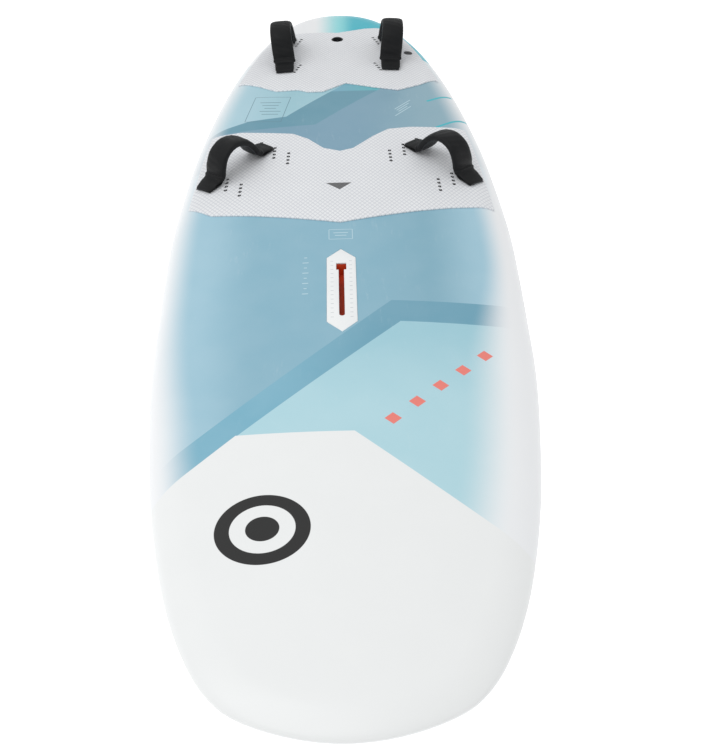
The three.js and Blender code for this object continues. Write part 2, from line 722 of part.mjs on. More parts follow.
function strapScrew(foot) {
  const seat = WEB_CLEAR + STRAP.webThickness + SCREW.lift;
  const { head, headHeight, shank, length } = SCREW;
  const body = turned([
    [0, seat - length], [shank, seat - length], [shank, seat], [head, seat],
    [head, seat + 1.4], [head - 3, seat + headHeight], [0, seat + headHeight],
  ], 8, 0, 0, 0);
  return body.transform(foot.elements);
}

// The screw of a strap goes into the outermost insert of its row.
function strapFoot(row, side) {
  const first = INSERT_ROWS[row];
  const sign = side === 'port' ? 1 : -1;
  const last = first.count - 1;
  const x = sign * (first.x + last * first.stepX);
  const t = first.t + last * first.stepT;
  const hole = new THREE.Matrix4().makeTranslation(0, holeOffset(first.screwIn), 0);
  return deckFrame(x, t, first.turn).multiply(hole);
}

const footPlace = (foot) => new THREE.Vector3().setFromMatrixPosition(foot);

// ---------------------------------------------------------------- materials and assembly

function finish(color, roughness, metalness = 0) {
  return new THREE.MeshStandardMaterial({ color, roughness, metalness });
}

const MATERIALS = {
  deck: finish(0x9fc4d2, 0.4),
  bottom: finish(0xf1f3f4, 0.3),
  foam: finish(0xf4f1e8, 0.9),
  pad: finish(0xdcdde2, 0.85),
  insert: finish(0x1a1b1e, 0.7),
  plate: finish(0xf4f5f6, 0.45),
  track: finish(0xd2442a, 0.5),
  plastic: finish(0x16171a, 0.5),
  blade: finish(0x2a2d33, 0.35),
  steel: finish(0xb9bcc0, 0.3, 1),
  brass: finish(0xb89a55, 0.35, 1),
  rubber: finish(0x17181a, 0.9),
  webbing: finish(0x1b1c1f, 0.9),
  neoprene: finish(0x141518, 0.85),
};

const board = new THREE.Group();

function addNode(name, shape, material) {
  const mesh = new THREE.Mesh(geometryOf(shape), MATERIALS[material].clone());
  mesh.name = name;
  board.add(mesh);
}

const SLEEVE_POCKET = rod(SLEEVE.radius + GAP, SLEEVE.bottom - GAP, DECK_AT_BOLT + 10, 20, 0, BOLT_Y);
const FIN_BOX_POCKET = finBoxPocket();
const VENT_POCKET = ventPocket();

function addHull() {
  const deckCuts = [INSERT_POCKETS, PLATE_POCKET, SLEEVE_POCKET, VENT_POCKET];
  addNode('deck_shell', cut(halfSkin(DECK_POINTS, SEAM), deckCuts), 'deck');
  addNode('bottom_shell', halfSkin(BOTTOM_POINTS, 0).subtract(FIN_BOX_POCKET), 'bottom');
  const core = loft(sunkRings(OUTSIDE, SKIN + 2 * SEAM), 'closed');
  const coreCuts = [INSERT_POCKETS, TRACK_BOX_POCKET, SLEEVE_POCKET, FIN_BOX_POCKET, VENT_POCKET];
  addNode('foam_core', cut(core, coreCuts), 'foam');
  addNode('rear_deck_pad', deckPad(rearPad(), [SLEEVE_POCKET, VENT_POCKET]), 'pad');
  addNode('front_deck_pad', deckPad(frontPad(), []), 'pad');
}

function addMastTrack() {
  addNode('mast_track_plate', mastTrackPlate(), 'plate');
  addNode('mast_track_box', mastTrackBox(), 'track');
}

function addFin() {
  addNode('fin_box', finBox(), 'plastic');
  addNode('fin_bolt_sleeve', finBoltSleeve(), 'plastic');
  addNode('fin_base', finBase(), 'plastic');
  addNode('fin_blade', finBlade(), 'blade');
  addNode('fin_barrel_nut', barrelNut(), 'brass');
  addNode('fin_bolt_washer', finBoltWasher(), 'steel');
  addNode('fin_bolt', finBolt(), 'steel');
}

function addVent() {
  addNode('vent_bushing', ventBushing(), 'plastic');
  addNode('vent_screw', ventScrew(), 'plastic');
  addNode('vent_o_ring', ventORing(), 'rubber');
}

function addInserts() {
  for (const { name, frame } of INSERTS) {
    addNode(name, insertBody(frame), 'insert');
  }
}

function addStrap(end, side) {
  const feet = [strapFoot(`${end}_tail`, side), strapFoot(`${end}_nose`, side)];
  const lean = STRAP_LEAN[end] * (side === 'port' ? 1 : -1);
  const frame = strapFrame(...feet.map(footPlace), lean);
  const path = strapPath(frame.span, STRAP_RISE[end], STRAP_SKEW[end]);
  addNode(`${end}_strap_webbing_${side}`, strapWebbing(frame, path, feet), 'webbing');
  addNode(`${end}_strap_cover_${side}`, strapCover(frame, path), 'neoprene');
  addNode(`${end}_strap_screw_${side}_tail`, strapScrew(feet[0]), 'steel');
  addNode(`${end}_strap_screw_${side}_nose`, strapScrew(feet[1]), 'steel');
}

addHull();
addMastTrack();
addFin();
addVent();
addInserts();
for (const end of ['front', 'rear']) {
  for (const side of ['port', 'starboard']) {
    addStrap(end, side);
  }
}

export default board;
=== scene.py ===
# %% [markdown]
# # A windsurf board, piece by piece
#
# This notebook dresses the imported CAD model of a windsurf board. The CAD gives every piece
# its place and size; here the visible ones get a fine surface and a material of their own.
# Everything is in metres: +Z is up through the deck, +Y runs to the tail, +X to port, and the
# origin lies in the flat planing bottom, 1 m from the tail tip. The frame is loaded first.

# %% Load the frame
import math

import bmesh
import bpy
import numpy as np
from mathutils import Matrix, Vector


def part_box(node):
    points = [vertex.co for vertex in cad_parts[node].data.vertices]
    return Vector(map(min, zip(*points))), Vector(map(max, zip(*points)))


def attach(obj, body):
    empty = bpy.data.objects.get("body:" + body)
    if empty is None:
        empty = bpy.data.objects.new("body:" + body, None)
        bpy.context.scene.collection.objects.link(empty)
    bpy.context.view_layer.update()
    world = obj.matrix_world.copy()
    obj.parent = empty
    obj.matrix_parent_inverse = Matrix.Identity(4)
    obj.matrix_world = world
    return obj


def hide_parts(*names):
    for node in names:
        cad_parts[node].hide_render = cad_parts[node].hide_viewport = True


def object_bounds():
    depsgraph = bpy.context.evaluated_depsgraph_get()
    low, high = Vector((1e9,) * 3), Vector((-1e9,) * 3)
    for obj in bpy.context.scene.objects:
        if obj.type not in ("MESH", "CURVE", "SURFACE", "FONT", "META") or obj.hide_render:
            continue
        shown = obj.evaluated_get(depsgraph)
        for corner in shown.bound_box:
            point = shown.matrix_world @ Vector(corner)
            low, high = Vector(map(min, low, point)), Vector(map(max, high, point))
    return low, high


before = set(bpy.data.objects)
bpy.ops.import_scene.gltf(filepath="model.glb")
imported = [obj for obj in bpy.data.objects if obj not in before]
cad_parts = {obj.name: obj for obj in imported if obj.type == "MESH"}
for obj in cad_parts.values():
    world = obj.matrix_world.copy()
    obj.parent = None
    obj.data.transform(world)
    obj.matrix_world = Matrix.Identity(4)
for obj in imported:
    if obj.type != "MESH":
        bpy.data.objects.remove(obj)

CAD_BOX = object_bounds()
TAIL_Y = CAD_BOX[1].y
LENGTH = CAD_BOX[1].y - CAD_BOX[0].y
print(f"frame: {len(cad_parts)} nodes, board {LENGTH:.3f} m long")

# %% [markdown]
# ## Camera
#
# The board is seen from its nose, standing over it and looking towards the tail. A long lens
# keeps the deck's outline true. The small roll is the way a hand-held camera tilts. No depth
# of field is used, because the same camera is moved round the board for other views.

# %% Camera
LENS_MM = 53.67
CAMERA_PLACE = Vector((0.0173, -2.0482, 1.5011))
LOOK_DOWN = 43.58
ROLL = -1.59


def make_camera():
    """A camera that looks along +Y, tipped down by LOOK_DOWN and rolled by ROLL degrees."""
    data = bpy.data.cameras.new("camera")
    data.lens = LENS_MM
    camera = bpy.data.objects.new("camera", data)
    bpy.context.scene.collection.objects.link(camera)
    tilt = Matrix.Rotation(math.radians(90 - LOOK_DOWN), 4, "X")
    roll = Matrix.Rotation(math.radians(ROLL), 4, "Z")
    camera.matrix_world = Matrix.Translation(CAMERA_PLACE) @ tilt @ roll
    bpy.context.scene.camera = camera
    return camera


print("camera", make_camera().location)

# %% [markdown]
# ## The hull's shape
#
# A shaper draws a board with a few long curves: the outline seen from above, the thickness
# along the stringer, the scoop of the bottom and the round of the rail. The hull here is a
# height field worked out from those same curves, so the deck, the pads that lie on it and the
# straps that stand on it all follow one formula. A place is given by x, across the board, and
# t, the distance from the tail tip.

# %% Curves of the hull
OUTLINE = [(0, 0), (0.04, 0.091), (0.12, 0.1505), (0.305, 0.233), (0.6, 0.302), (0.9, 0.344),
           (1.2, 0.362), (1.5, 0.357), (1.8, 0.328), (2.045, 0.281), (2.2, 0.229),
           (2.29, 0.172), (2.35, 0)]
THICKNESS = [(0, 0.04), (0.1, 0.065), (0.3, 0.085), (0.7, 0.115), (1.2, 0.128), (1.6, 0.122),
             (2.0, 0.095), (2.25, 0.055), (2.35, 0.03)]
ROCKER_START, SCOOP, ROCKER_POWER = 1.15, 0.183, 2.3
DOME = 0.028 / 0.362 ** 2
DECK_RAIL, BOTTOM_RAIL = 0.06, 0.055
SEAM = 0.001
SKIN = 0.005


def smooth_through(pairs):
    """A curve through [place, value] pairs that never overshoots them: cubic pieces whose
    slopes at the knots are weighted harmonic means of the slopes on either side."""
    xs, ys = np.array(pairs, float).T
    step = np.diff(xs)
    slope = np.diff(ys) / step
    before = 2 * step[1:] + step[:-1]
    after = step[1:] + 2 * step[:-1]
    same_way = slope[:-1] * slope[1:] > 0
    safe = [np.where(same_way, s, 1.0) for s in (slope[:-1], slope[1:])]
    inner = np.where(same_way, (before + after) / (before / safe[0] + after / safe[1]), 0)
    tangent = np.concatenate([slope[:1], inner, slope[-1:]])

    def curve(x):
        place = np.clip(x, xs[0], xs[-1])
        k = np.clip(np.searchsorted(xs, place, side="right") - 1, 0, len(xs) - 2)
        s = (place - xs[k]) / step[k]
        start = ys[k] * (1 + 2 * s) * (1 - s) ** 2 + step[k] * tangent[k] * s * (1 - s) ** 2
        end = ys[k + 1] * s * s * (3 - 2 * s) + step[k] * tangent[k + 1] * s * s * (s - 1)
        return start + end

    return curve


squared_half_width = smooth_through([(t, w * w) for t, w in OUTLINE])
thickness_at = smooth_through(THICKNESS)


def half_width_at(t):
    """Half the board's width at t."""
    return np.sqrt(np.maximum(0, squared_half_width(t)))


def bottom_at(t):
    """Height of the bottom on the centre line: flat, then a power curve up to the nose."""
    along = np.maximum(0, t - ROCKER_START) / (LENGTH - ROCKER_START)
    return SCOOP * along ** ROCKER_POWER


def inside_by(x, t):
    """Distance in from the outline: half width squared less x squared, divided by its slope."""
    field = np.maximum(0, squared_half_width(t) - x * x)
    along = (squared_half_width(t + SEAM) - squared_half_width(t - SEAM)) / (2 * SEAM)
    half = np.hypot(2 * x, along) / 2
    return np.sqrt(field + half * half) - half


def quarter_round(distance, width):
    """A quarter circle, from 0 at no distance to 1 at the full width."""
    s = np.clip(distance / width, 0, 1)
    return np.sqrt(1 - (1 - s) ** 2)


def rail_height(t):
    """Height of the widest line of the rail."""
    return bottom_at(t) + thickness_at(t) / 2


def deck_height(x, t):
    """Height of the deck: a domed top brought down to the rail by a quarter round."""
    rise = thickness_at(t) / 2 - DOME * x * x
    return rail_height(t) + rise * quarter_round(inside_by(x, t), DECK_RAIL)


def bottom_height(x, t):
    """Height of the bottom: flat across, brought up to the rail by a quarter round."""
    return bottom_at(t) + thickness_at(t) / 2 * (1 - quarter_round(inside_by(x, t), BOTTOM_RAIL))


print(f"hull: {2 * half_width_at(1.25):.3f} m wide, {thickness_at(1.2):.3f} m thick")

# %% [markdown]
# ## Helpers for meshes
#
# Each surface is a grid of points, computed as one array. A closed body is made of several
# grids whose edges meet: the doubled points are merged, the normals turned outwards, and
# edges that bend more than a set angle stay sharp. Holes are cut with the Boolean modifier,
# the way a router cuts the pockets of a real board, and the result is applied.

# %% Grids into meshes
MERGE = 1e-6


def grid_faces(rows, columns, first):
    """Quads between the points of a grid, numbered from first."""
    index = first + np.arange(rows * columns).reshape(rows, columns)
    corners = [index[:-1, :-1], index[:-1, 1:], index[1:, 1:], index[1:, :-1]]
    return np.stack([c.ravel() for c in corners], axis=1)


def mesh_of(name, grids, uvs=None):
    """One mesh from grids of points (rows, columns, 3), merged and turned outwards. uvs holds
    a grid of (rows, columns, 2) for each, laid down before the merging."""
    points = np.concatenate([g.reshape(-1, 3) for g in grids])
    starts = np.cumsum([0] + [g.shape[0] * g.shape[1] for g in grids])
    faces = np.concatenate([grid_faces(*g.shape[:2], first) for g, first in zip(grids, starts)])
    mesh = bpy.data.meshes.new(name)
    mesh.from_pydata(points.tolist(), [], faces.tolist())
    if uvs is not None:
        flat = np.concatenate([u.reshape(-1, 2) for u in uvs])
        layer = mesh.uv_layers.new(name="surface")
        layer.data.foreach_set("uv", flat[faces.ravel()].astype(np.float32).ravel())
    tidy = bmesh.new()
    tidy.from_mesh(mesh)
    bmesh.ops.remove_doubles(tidy, verts=tidy.verts, dist=MERGE)
    bmesh.ops.recalc_face_normals(tidy, faces=tidy.faces)
    tidy.to_mesh(mesh)
    tidy.free()
    return mesh


def cap(row):
    """A fan that closes a row of points: the row and its middle point."""
    return np.stack([row, np.broadcast_to(row[:-1].mean(axis=0), row.shape)])


def capped(grid):
    """A tube's grid with a fan over each end."""
    return [grid, cap(grid[0]), cap(grid[-1])]


def slab(top, bottom):
    """The grids of a closed plate between two sheets of the same size."""
    edges = [(slice(None), 0), (slice(None), -1), (0, slice(None)), (-1, slice(None))]
    return [top, bottom] + [np.stack([top[e], bottom[e]]) for e in edges]


def new_object(name, mesh):
    """A linked object at the origin."""
    piece = bpy.data.objects.new(name, mesh)
    bpy.context.scene.collection.objects.link(piece)
    return piece


def applied(piece):
    """Puts the result of a piece's modifiers into its mesh."""
    bpy.context.view_layer.update()
    shown = piece.evaluated_get(bpy.context.evaluated_depsgraph_get())
    mesh = bpy.data.meshes.new_from_object(shown)
    piece.modifiers.clear()
    piece.data = mesh
    return piece


def cut_away(piece, solids):
    """Cuts closed bodies, each a list of grids, out of a piece."""
    tool = new_object("tool", mesh_of("tool", [g for solid in solids for g in solid]))
    boolean = piece.modifiers.new("cut", "BOOLEAN")
    boolean.operation = "DIFFERENCE"
    boolean.solver = "EXACT"
    boolean.object = tool
    applied(piece)
    bpy.data.objects.remove(tool)
    return piece


def shade(piece, sharp_angle=35):
    """Smooth shading, with edges sharp where the faces meet at more than the angle."""
    piece.data.polygons.foreach_set("use_smooth", np.ones(len(piece.data.polygons), bool))
    piece.data.set_sharp_from_angle(angle=math.radians(sharp_angle))
    return piece


def fit(piece, material, body, slot, *nodes, sharp_angle=35):
    """Shades a finished piece, gives it its material, and ties it to its CAD body and nodes."""
    shade(piece, sharp_angle)
    piece.data.materials.clear()
    piece.data.materials.append(material)
    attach(piece, body)
    if nodes:
        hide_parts(*nodes)
    print(f"{piece.name}: {len(piece.data.polygons)} faces on {body}")
    return piece


# %% Turned, extruded and rounded shapes
def frame_at(origin, ahead, up):
    """A local frame as a 4 x 4 array: z along up, y as near ahead as it can be."""
    z = np.array(up, float) / np.linalg.norm(up)
    x = np.cross(ahead, z)
    x = x / np.linalg.norm(x)
    matrix = np.eye(4)
    matrix[:3] = np.column_stack([x, np.cross(z, x), z, origin])
    return matrix


def deck_frame(x, t, turn, lift):
    """A frame on the deck, lifted along z: z square to the deck, y to the nose, turned
    outboard by turn degrees."""
    across = deck_height(x + SEAM, t) - deck_height(x - SEAM, t)
    along = deck_height(x, t - SEAM) - deck_height(x, t + SEAM)
    up = (-across / (2 * SEAM), -along / (2 * SEAM), 1)
    outboard = math.radians(turn) * np.sign(x)
    ahead = (math.sin(outboard), -math.cos(outboard), 0)
    return frame_at((x, TAIL_Y - t, deck_height(x, t) + lift), ahead, up)


def moved(points, matrix):
    """Points of a local frame, in the board's frame."""
    return points @ matrix[:3, :3].T + matrix[:3, 3]


def rounded(outline, radius, steps=4):
    """An open outline whose inner corners are replaced by arcs: a quadratic curve from
    radius before the corner to radius after it, less where a side is short."""
    points = [np.array(p, float) for p in outline]
    result = [points[0]]
    for before, corner, after in zip(points, points[1:], points[2:]):
        a, b = before - corner, after - corner
        reach = min(radius, 0.45 * np.linalg.norm(a), 0.45 * np.linalg.norm(b))
        start = corner + a / np.linalg.norm(a) * reach
        end = corner + b / np.linalg.norm(b) * reach
        s = np.linspace(0, 1, steps + 1)[:, None]
        result.extend((1 - s) ** 2 * start + 2 * s * (1 - s) * corner + s * s * end)
    result.append(points[-1])
    return np.array(result)


def turned(outline, matrix, sides=64):
    """A body of revolution: an outline of (radius, height) carried round z."""
    radius, height = np.array(outline, float).T
    angle = np.linspace(0, 2 * np.pi, sides + 1)
    x = radius[:, None] * np.cos(angle)
    y = radius[:, None] * np.sin(angle)
    z = np.broadcast_to(height[:, None], x.shape)
    return [moved(np.stack([x, y, z], axis=-1), matrix)]


def prism(outline, low, high, matrix):
    """A closed outline in x and y carried along z from low to high."""
    ring = np.array(outline, float)
    ring = np.concatenate([ring, ring[:1]])
    rows = [np.column_stack([ring, np.full(len(ring), z)]) for z in (low, high)]
    return capped(moved(np.stack(rows), matrix))


def circle(radius, sides=48, centre=(0, 0)):
    """Points round a circle."""
    angle = np.linspace(0, 2 * np.pi, sides, endpoint=False)
    return np.column_stack([centre[0] + radius * np.cos(angle), centre[1] + radius * np.sin(angle)])


def rectangle(size_x, size_y):
    """The corners of a rectangle about the origin."""
    return np.array([(1, 1), (-1, 1), (-1, -1), (1, -1)]) * (size_x / 2, size_y / 2)


def standing(x, y, z=0.0):
    """A frame at a point with its axes along the board's."""
    matrix = np.eye(4)
    matrix[:3, 3] = (x, y, z)
    return matrix


def middle(node):
    """The middle of a CAD node's box."""
    low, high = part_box(node)
    return (low + high) / 2


def refined(name, node, bevel, segments=3):
    """A copy of a CAD node with its loose triangles merged, flat faces joined and edges
    bevelled."""
    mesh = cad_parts[node].data.copy()
    tidy = bmesh.new()
    tidy.from_mesh(mesh)
    bmesh.ops.remove_doubles(tidy, verts=tidy.verts, dist=1e-5)
    bmesh.ops.dissolve_limit(tidy, angle_limit=math.radians(1), verts=tidy.verts, edges=tidy.edges)
    tidy.to_mesh(mesh)
    tidy.free()
    piece = new_object(name, mesh)
    modifier = piece.modifiers.new("bevel", "BEVEL")
    modifier.width = bevel
    modifier.segments = segments
    modifier.limit_method = "ANGLE"
    modifier.angle_limit = math.radians(40)
    return applied(piece)


print("helpers ready")

# %% [markdown]
# ## Helpers for materials
#
# A material is a small network of nodes. These helpers keep the networks short to read: an
# input takes either a plain value or the output of another node. Colours are written as the
# hex codes a paint chart would give, and turned into the linear light that shaders work with.

# %% Node helpers
def colour(code):
    """A hex colour as linear red, green, blue and alpha."""
    srgb = np.array([int(code[i:i + 2], 16) for i in (0, 2, 4)]) / 255
    linear = np.where(srgb <= 0.04045, srgb / 12.92, ((srgb + 0.055) / 1.055) ** 2.4)
    return (*linear, 1.0)


def add_node(tree, kind, inputs, **settings):
    """Adds a node with its settings, and fills or links the inputs."""
    node = tree.nodes.new(kind)
    for key, value in settings.items():
        setattr(node, key, value)
    for key, value in inputs.items():
        if isinstance(value, bpy.types.NodeSocket):
            tree.links.new(value, node.inputs[key])
        else:
            node.inputs[key].default_value = value
    return node


def maths(tree, operation, *values):
    """The output of a Math node."""
    return add_node(tree, "ShaderNodeMath", dict(enumerate(values)), operation=operation).outputs[0]


def vector_maths(tree, operation, output, *values):
    """One output of a Vector Math node."""
    inputs = dict(enumerate(values))
    return add_node(tree, "ShaderNodeVectorMath", inputs, operation=operation).outputs[output]


def remap(tree, value, low, high, to_low=0.0, to_high=1.0, shape="SMOOTHSTEP"):
    """A value between low and high carried over to another range, clamped."""
    inputs = {"Value": value, "From Min": low, "From Max": high, "To Min": to_low, "To Max": to_high}
    return add_node(tree, "ShaderNodeMapRange", inputs, interpolation_type=shape).outputs[0]


def mix(tree, factor, first, second):
    """A colour between first and second."""
    inputs = {0: factor, 6: first, 7: second}
    return add_node(tree, "ShaderNodeMix", inputs, data_type="RGBA").outputs[2]


def noise(tree, place, scale, detail=3.0, roughness=0.5):
    """Fractal noise, about 0 to 1."""
    inputs = {"Vector": place, "Scale": scale, "Detail": detail, "Roughness": roughness}
    return add_node(tree, "ShaderNodeTexNoise", inputs).outputs[0]


def object_place(tree):
    """The point being shaded, in the board's frame."""
    return tree.nodes.new("ShaderNodeTexCoord").outputs["Object"]


def surface_place(tree):
    """The point being shaded, on the surface's own map, in metres."""
    return add_node(tree, "ShaderNodeUVMap", {}, uv_map="surface").outputs[0]


def bump(tree, height, distance, strength=1.0):
    """A normal from a height."""
    inputs = {"Height": height, "Distance": distance, "Strength": strength}
    return add_node(tree, "ShaderNodeBump", inputs).outputs[0]


def new_group(name, inputs, outputs):
    """A shader node group with named sockets. Returns its tree, inputs and output node."""
    tree = bpy.data.node_groups.new(name, "ShaderNodeTree")
    for socket, kind, value in inputs:
        made = tree.interface.new_socket(socket, in_out="INPUT", socket_type="NodeSocket" + kind)
        made.default_value = value
    for socket, kind in outputs:
        tree.interface.new_socket(socket, in_out="OUTPUT", socket_type="NodeSocket" + kind)
    entry = tree.nodes.new("NodeGroupInput")
    return tree, entry.outputs, tree.nodes.new("NodeGroupOutput")


def use_group(tree, group, output, **inputs):
    """One output of a group placed in a tree; the input names have _ for spaces."""
    node = add_node(tree, "ShaderNodeGroup", {}, node_tree=group)
    for key, value in inputs.items():
        socket = node.inputs[key.replace("_", " ")]
        if isinstance(value, bpy.types.NodeSocket):
            tree.links.new(value, socket)
        else:
            socket.default_value = value
    return node.outputs[output]


def new_material(name):
    """A material, its tree and its Principled shader."""
    material = bpy.data.materials.new(name)
    material.use_nodes = True
    tree = material.node_tree
    return material, tree, tree.nodes["Principled BSDF"]


def wire(tree, shader, **inputs):
    """Links or sets sockets of the shader; the names have _ for spaces."""
    for key, value in inputs.items():
        socket = shader.inputs[key.replace("_", " ")]
        if isinstance(value, bpy.types.NodeSocket):
            tree.links.new(value, socket)
        else:
            socket.default_value = value


# %% [markdown]
# ## Shared effects
#
# Paint on a board is masked with tape, so its edges are straight and crisp: `paint_edge` is
# one such edge, and two or more make a field. `bar_mark` and `ring_mark` stamp a small plain
# shape. `fine_grain` is the slight unevenness that every moulded or sprayed surface has,
# `diamond_grooves` the pattern pressed into the deck pads, `cloth_weave` the over and under
# of woven webbing, and `light_wear` the scuffs that handling leaves.

# %% Groups for painted marks
def paint_edge_group():
    """1 past a straight edge: the place along a direction, less an offset."""
    tree, entry, out = new_group(
        "paint_edge",
        [("Place", "Vector", (0, 0, 0)), ("Across", "Vector", (0, 1, 0)),
         ("Offset", "Float", 0.0), ("Softness", "Float", 0.001)],
        [("Mask", "Float")])
    along = vector_maths(tree, "DOT_PRODUCT", "Value", entry["Place"], entry["Across"])
    past = maths(tree, "SUBTRACT", along, entry["Offset"])
    share = maths(tree, "DIVIDE", past, entry["Softness"])
    tree.links.new(remap(tree, share, -0.5, 0.5), out.inputs["Mask"])
    return tree


def bar_mark_group():
    """1 inside a turned rectangle: the place is moved to its middle and turned back."""
    tree, entry, out = new_group(
        "bar_mark",
        [("Place", "Vector", (0, 0, 0)), ("Centre", "Vector", (0, 0, 0)), ("Turn", "Float", 0.0),
         ("Half Length", "Float", 0.01), ("Half Width", "Float", 0.002)],
        [("Mask", "Float")])
    local = vector_maths(tree, "SUBTRACT", "Vector", entry["Place"], entry["Centre"])
    back = maths(tree, "MULTIPLY", entry["Turn"], -1.0)
    spun = add_node(tree, "ShaderNodeVectorRotate", {"Vector": local, "Angle": back},
                    rotation_type="Z_AXIS")
    parts = add_node(tree, "ShaderNodeSeparateXYZ", {0: spun.outputs[0]}).outputs
    past_x = maths(tree, "SUBTRACT", maths(tree, "ABSOLUTE", parts[0]), entry["Half Length"])
    past_y = maths(tree, "SUBTRACT", maths(tree, "ABSOLUTE", parts[1]), entry["Half Width"])
    past = maths(tree, "MAXIMUM", past_x, past_y)
    tree.links.new(remap(tree, past, -MARK_SOFT, MARK_SOFT, 1.0, 0.0), out.inputs["Mask"])
    return tree


def ring_mark_group():
    """1 inside a ring: how far the distance to the middle is from the radius."""
    tree, entry, out = new_group(
        "ring_mark",
        [("Place", "Vector", (0, 0, 0)), ("Centre", "Vector", (0, 0, 0)),
         ("Radius", "Float", 0.01), ("Half Width", "Float", 0.002)],
        [("Mask", "Float")])
    reach = vector_maths(tree, "DISTANCE", "Value", entry["Place"], entry["Centre"])
    off = maths(tree, "ABSOLUTE", maths(tree, "SUBTRACT", reach, entry["Radius"]))
    past = maths(tree, "SUBTRACT", off, entry["Half Width"])
    tree.links.new(remap(tree, past, -MARK_SOFT, MARK_SOFT, 1.0, 0.0), out.inputs["Mask"])
    return tree


MARK_SOFT = 0.0004
PAINT_EDGE = paint_edge_group()
BAR_MARK = bar_mark_group()
RING_MARK = ring_mark_group()
print("mark groups:", PAINT_EDGE.name, BAR_MARK.name, RING_MARK.name)


# %% Groups for grain, grooves, weave and wear
def fine_grain_group():
    """Two sizes of noise: the coarse one for colour and gloss, the sum as a height."""
    tree, entry, out = new_group(
        "fine_grain", [("Place", "Vector", (0, 0, 0)), ("Scale", "Float", 400.0)],
        [("Height", "Float"), ("Cloud", "Float")])
    fine = noise(tree, entry["Place"], entry["Scale"], 2.0)
    coarse = noise(tree, entry["Place"], maths(tree, "MULTIPLY", entry["Scale"], 0.05), 4.0)
    both = maths(tree, "ADD", fine, maths(tree, "MULTIPLY", coarse, 0.5))
    tree.links.new(both, out.inputs["Height"])
    tree.links.new(coarse, out.inputs["Cloud"])
    return tree


def diamond_grooves_group():
    """Two families of slanting grooves: each is a triangle wave of x / Width +- y / Length,
    cut off so that only a narrow line near its foot is low."""
    tree, entry, out = new_group(
        "diamond_grooves",
        [("Place", "Vector", (0, 0, 0)), ("Width", "Float", 0.01), ("Length", "Float", 0.014)],
        [("Height", "Float")])
    parts = add_node(tree, "ShaderNodeSeparateXYZ", {0: entry["Place"]}).outputs
    across = maths(tree, "DIVIDE", parts[0], entry["Width"])
    along = maths(tree, "DIVIDE", parts[1], entry["Length"])
    heights = []
    for operation in ("ADD", "SUBTRACT"):
        wave = maths(tree, "PINGPONG", maths(tree, operation, across, along), 0.5)
        heights.append(remap(tree, wave, 0.02, 0.16))
    tree.links.new(maths(tree, "MINIMUM", *heights), out.inputs["Height"])
    return tree


def cloth_weave_group():
    """Plain weave: the product of two rounded waves, one along and one across the yarns."""
    tree, entry, out = new_group(
        "cloth_weave", [("Place", "Vector", (0, 0, 0)), ("Pitch", "Float", 0.0015)],
        [("Height", "Float")])
    scaled = vector_maths(tree, "SCALE", "Vector", entry["Place"])
    scale = maths(tree, "DIVIDE", math.pi, entry["Pitch"])
    tree.links.new(scale, scaled.node.inputs["Scale"])
    parts = add_node(tree, "ShaderNodeSeparateXYZ", {0: scaled}).outputs
    product = maths(tree, "MULTIPLY", maths(tree, "SINE", parts[0]), maths(tree, "SINE", parts[1]))
    tree.links.new(maths(tree, "MULTIPLY_ADD", product, 0.5, 0.5), out.inputs["Height"])
    return tree


def light_wear_group():
    """Scuffs: a stretched noise, kept only where a broad noise is high."""
    tree, entry, out = new_group(
        "light_wear", [("Place", "Vector", (0, 0, 0)), ("Amount", "Float", 0.3)],
        [("Mask", "Float")])
    stretched = vector_maths(tree, "MULTIPLY", "Vector", entry["Place"], (90.0, 18.0, 60.0))
    streaks = remap(tree, noise(tree, stretched, 1.0, 5.0, 0.65), 0.56, 0.72)
    patches = remap(tree, noise(tree, entry["Place"], 7.0, 2.0), 0.45, 0.75)
    both = maths(tree, "MULTIPLY", streaks, patches)
    tree.links.new(maths(tree, "MULTIPLY", both, entry["Amount"]), out.inputs["Mask"])
    return tree


FINE_GRAIN = fine_grain_group()
DIAMOND_GROOVES = diamond_grooves_group()
CLOTH_WEAVE = cloth_weave_group()
LIGHT_WEAR = light_wear_group()
print("surface groups:", FINE_GRAIN.name, DIAMOND_GROOVES.name, CLOTH_WEAVE.name, LIGHT_WEAR.name)

# %% [markdown]
# ## The deck's paint
#
# The deck is white, with blue fields that fade out towards the rails as if sprayed, and crisp
# taped edges between them. The fade needs the distance from the rail, which the deck's mesh
# carries as an attribute. Each field is the part of the deck on the nose side of one or more
# straight edges: where all must be passed the smallest mask counts, where any will do the
# largest. The marks are plain shapes: a ring and a disc, coral diamonds, a few bars and
# ticks. They stand where a maker would print lettering, and say nothing.

# %% Paint plan
WHITE, NOSE_WHITE = colour("eef0f2"), colour("eceeee")
EDGE_BLUE, MID_BLUE, PORT_BLUE = colour("9dc5d6"), colour("85b3c6"), colour("79a9bc")
BAND_LIGHT, BAND_DARK = colour("76b0c6"), colour("68a0b6")
PALE_NEAR, PALE_FAR = colour("9ccad7"), colour("afd6e0")
AFT_LEFT, AFT_DARK, AFT_TOP = colour("9ac6d2"), colour("5e95a9"), colour("72a9bf")
AFT_RIGHT, TURQUOISE, PALE_TURQUOISE = colour("749db3"), colour("0cb4c6"), colour("86d9de")
CORAL, INK, FAINT_INK = colour("ec7f74"), colour("070808"), colour("5b7f90")

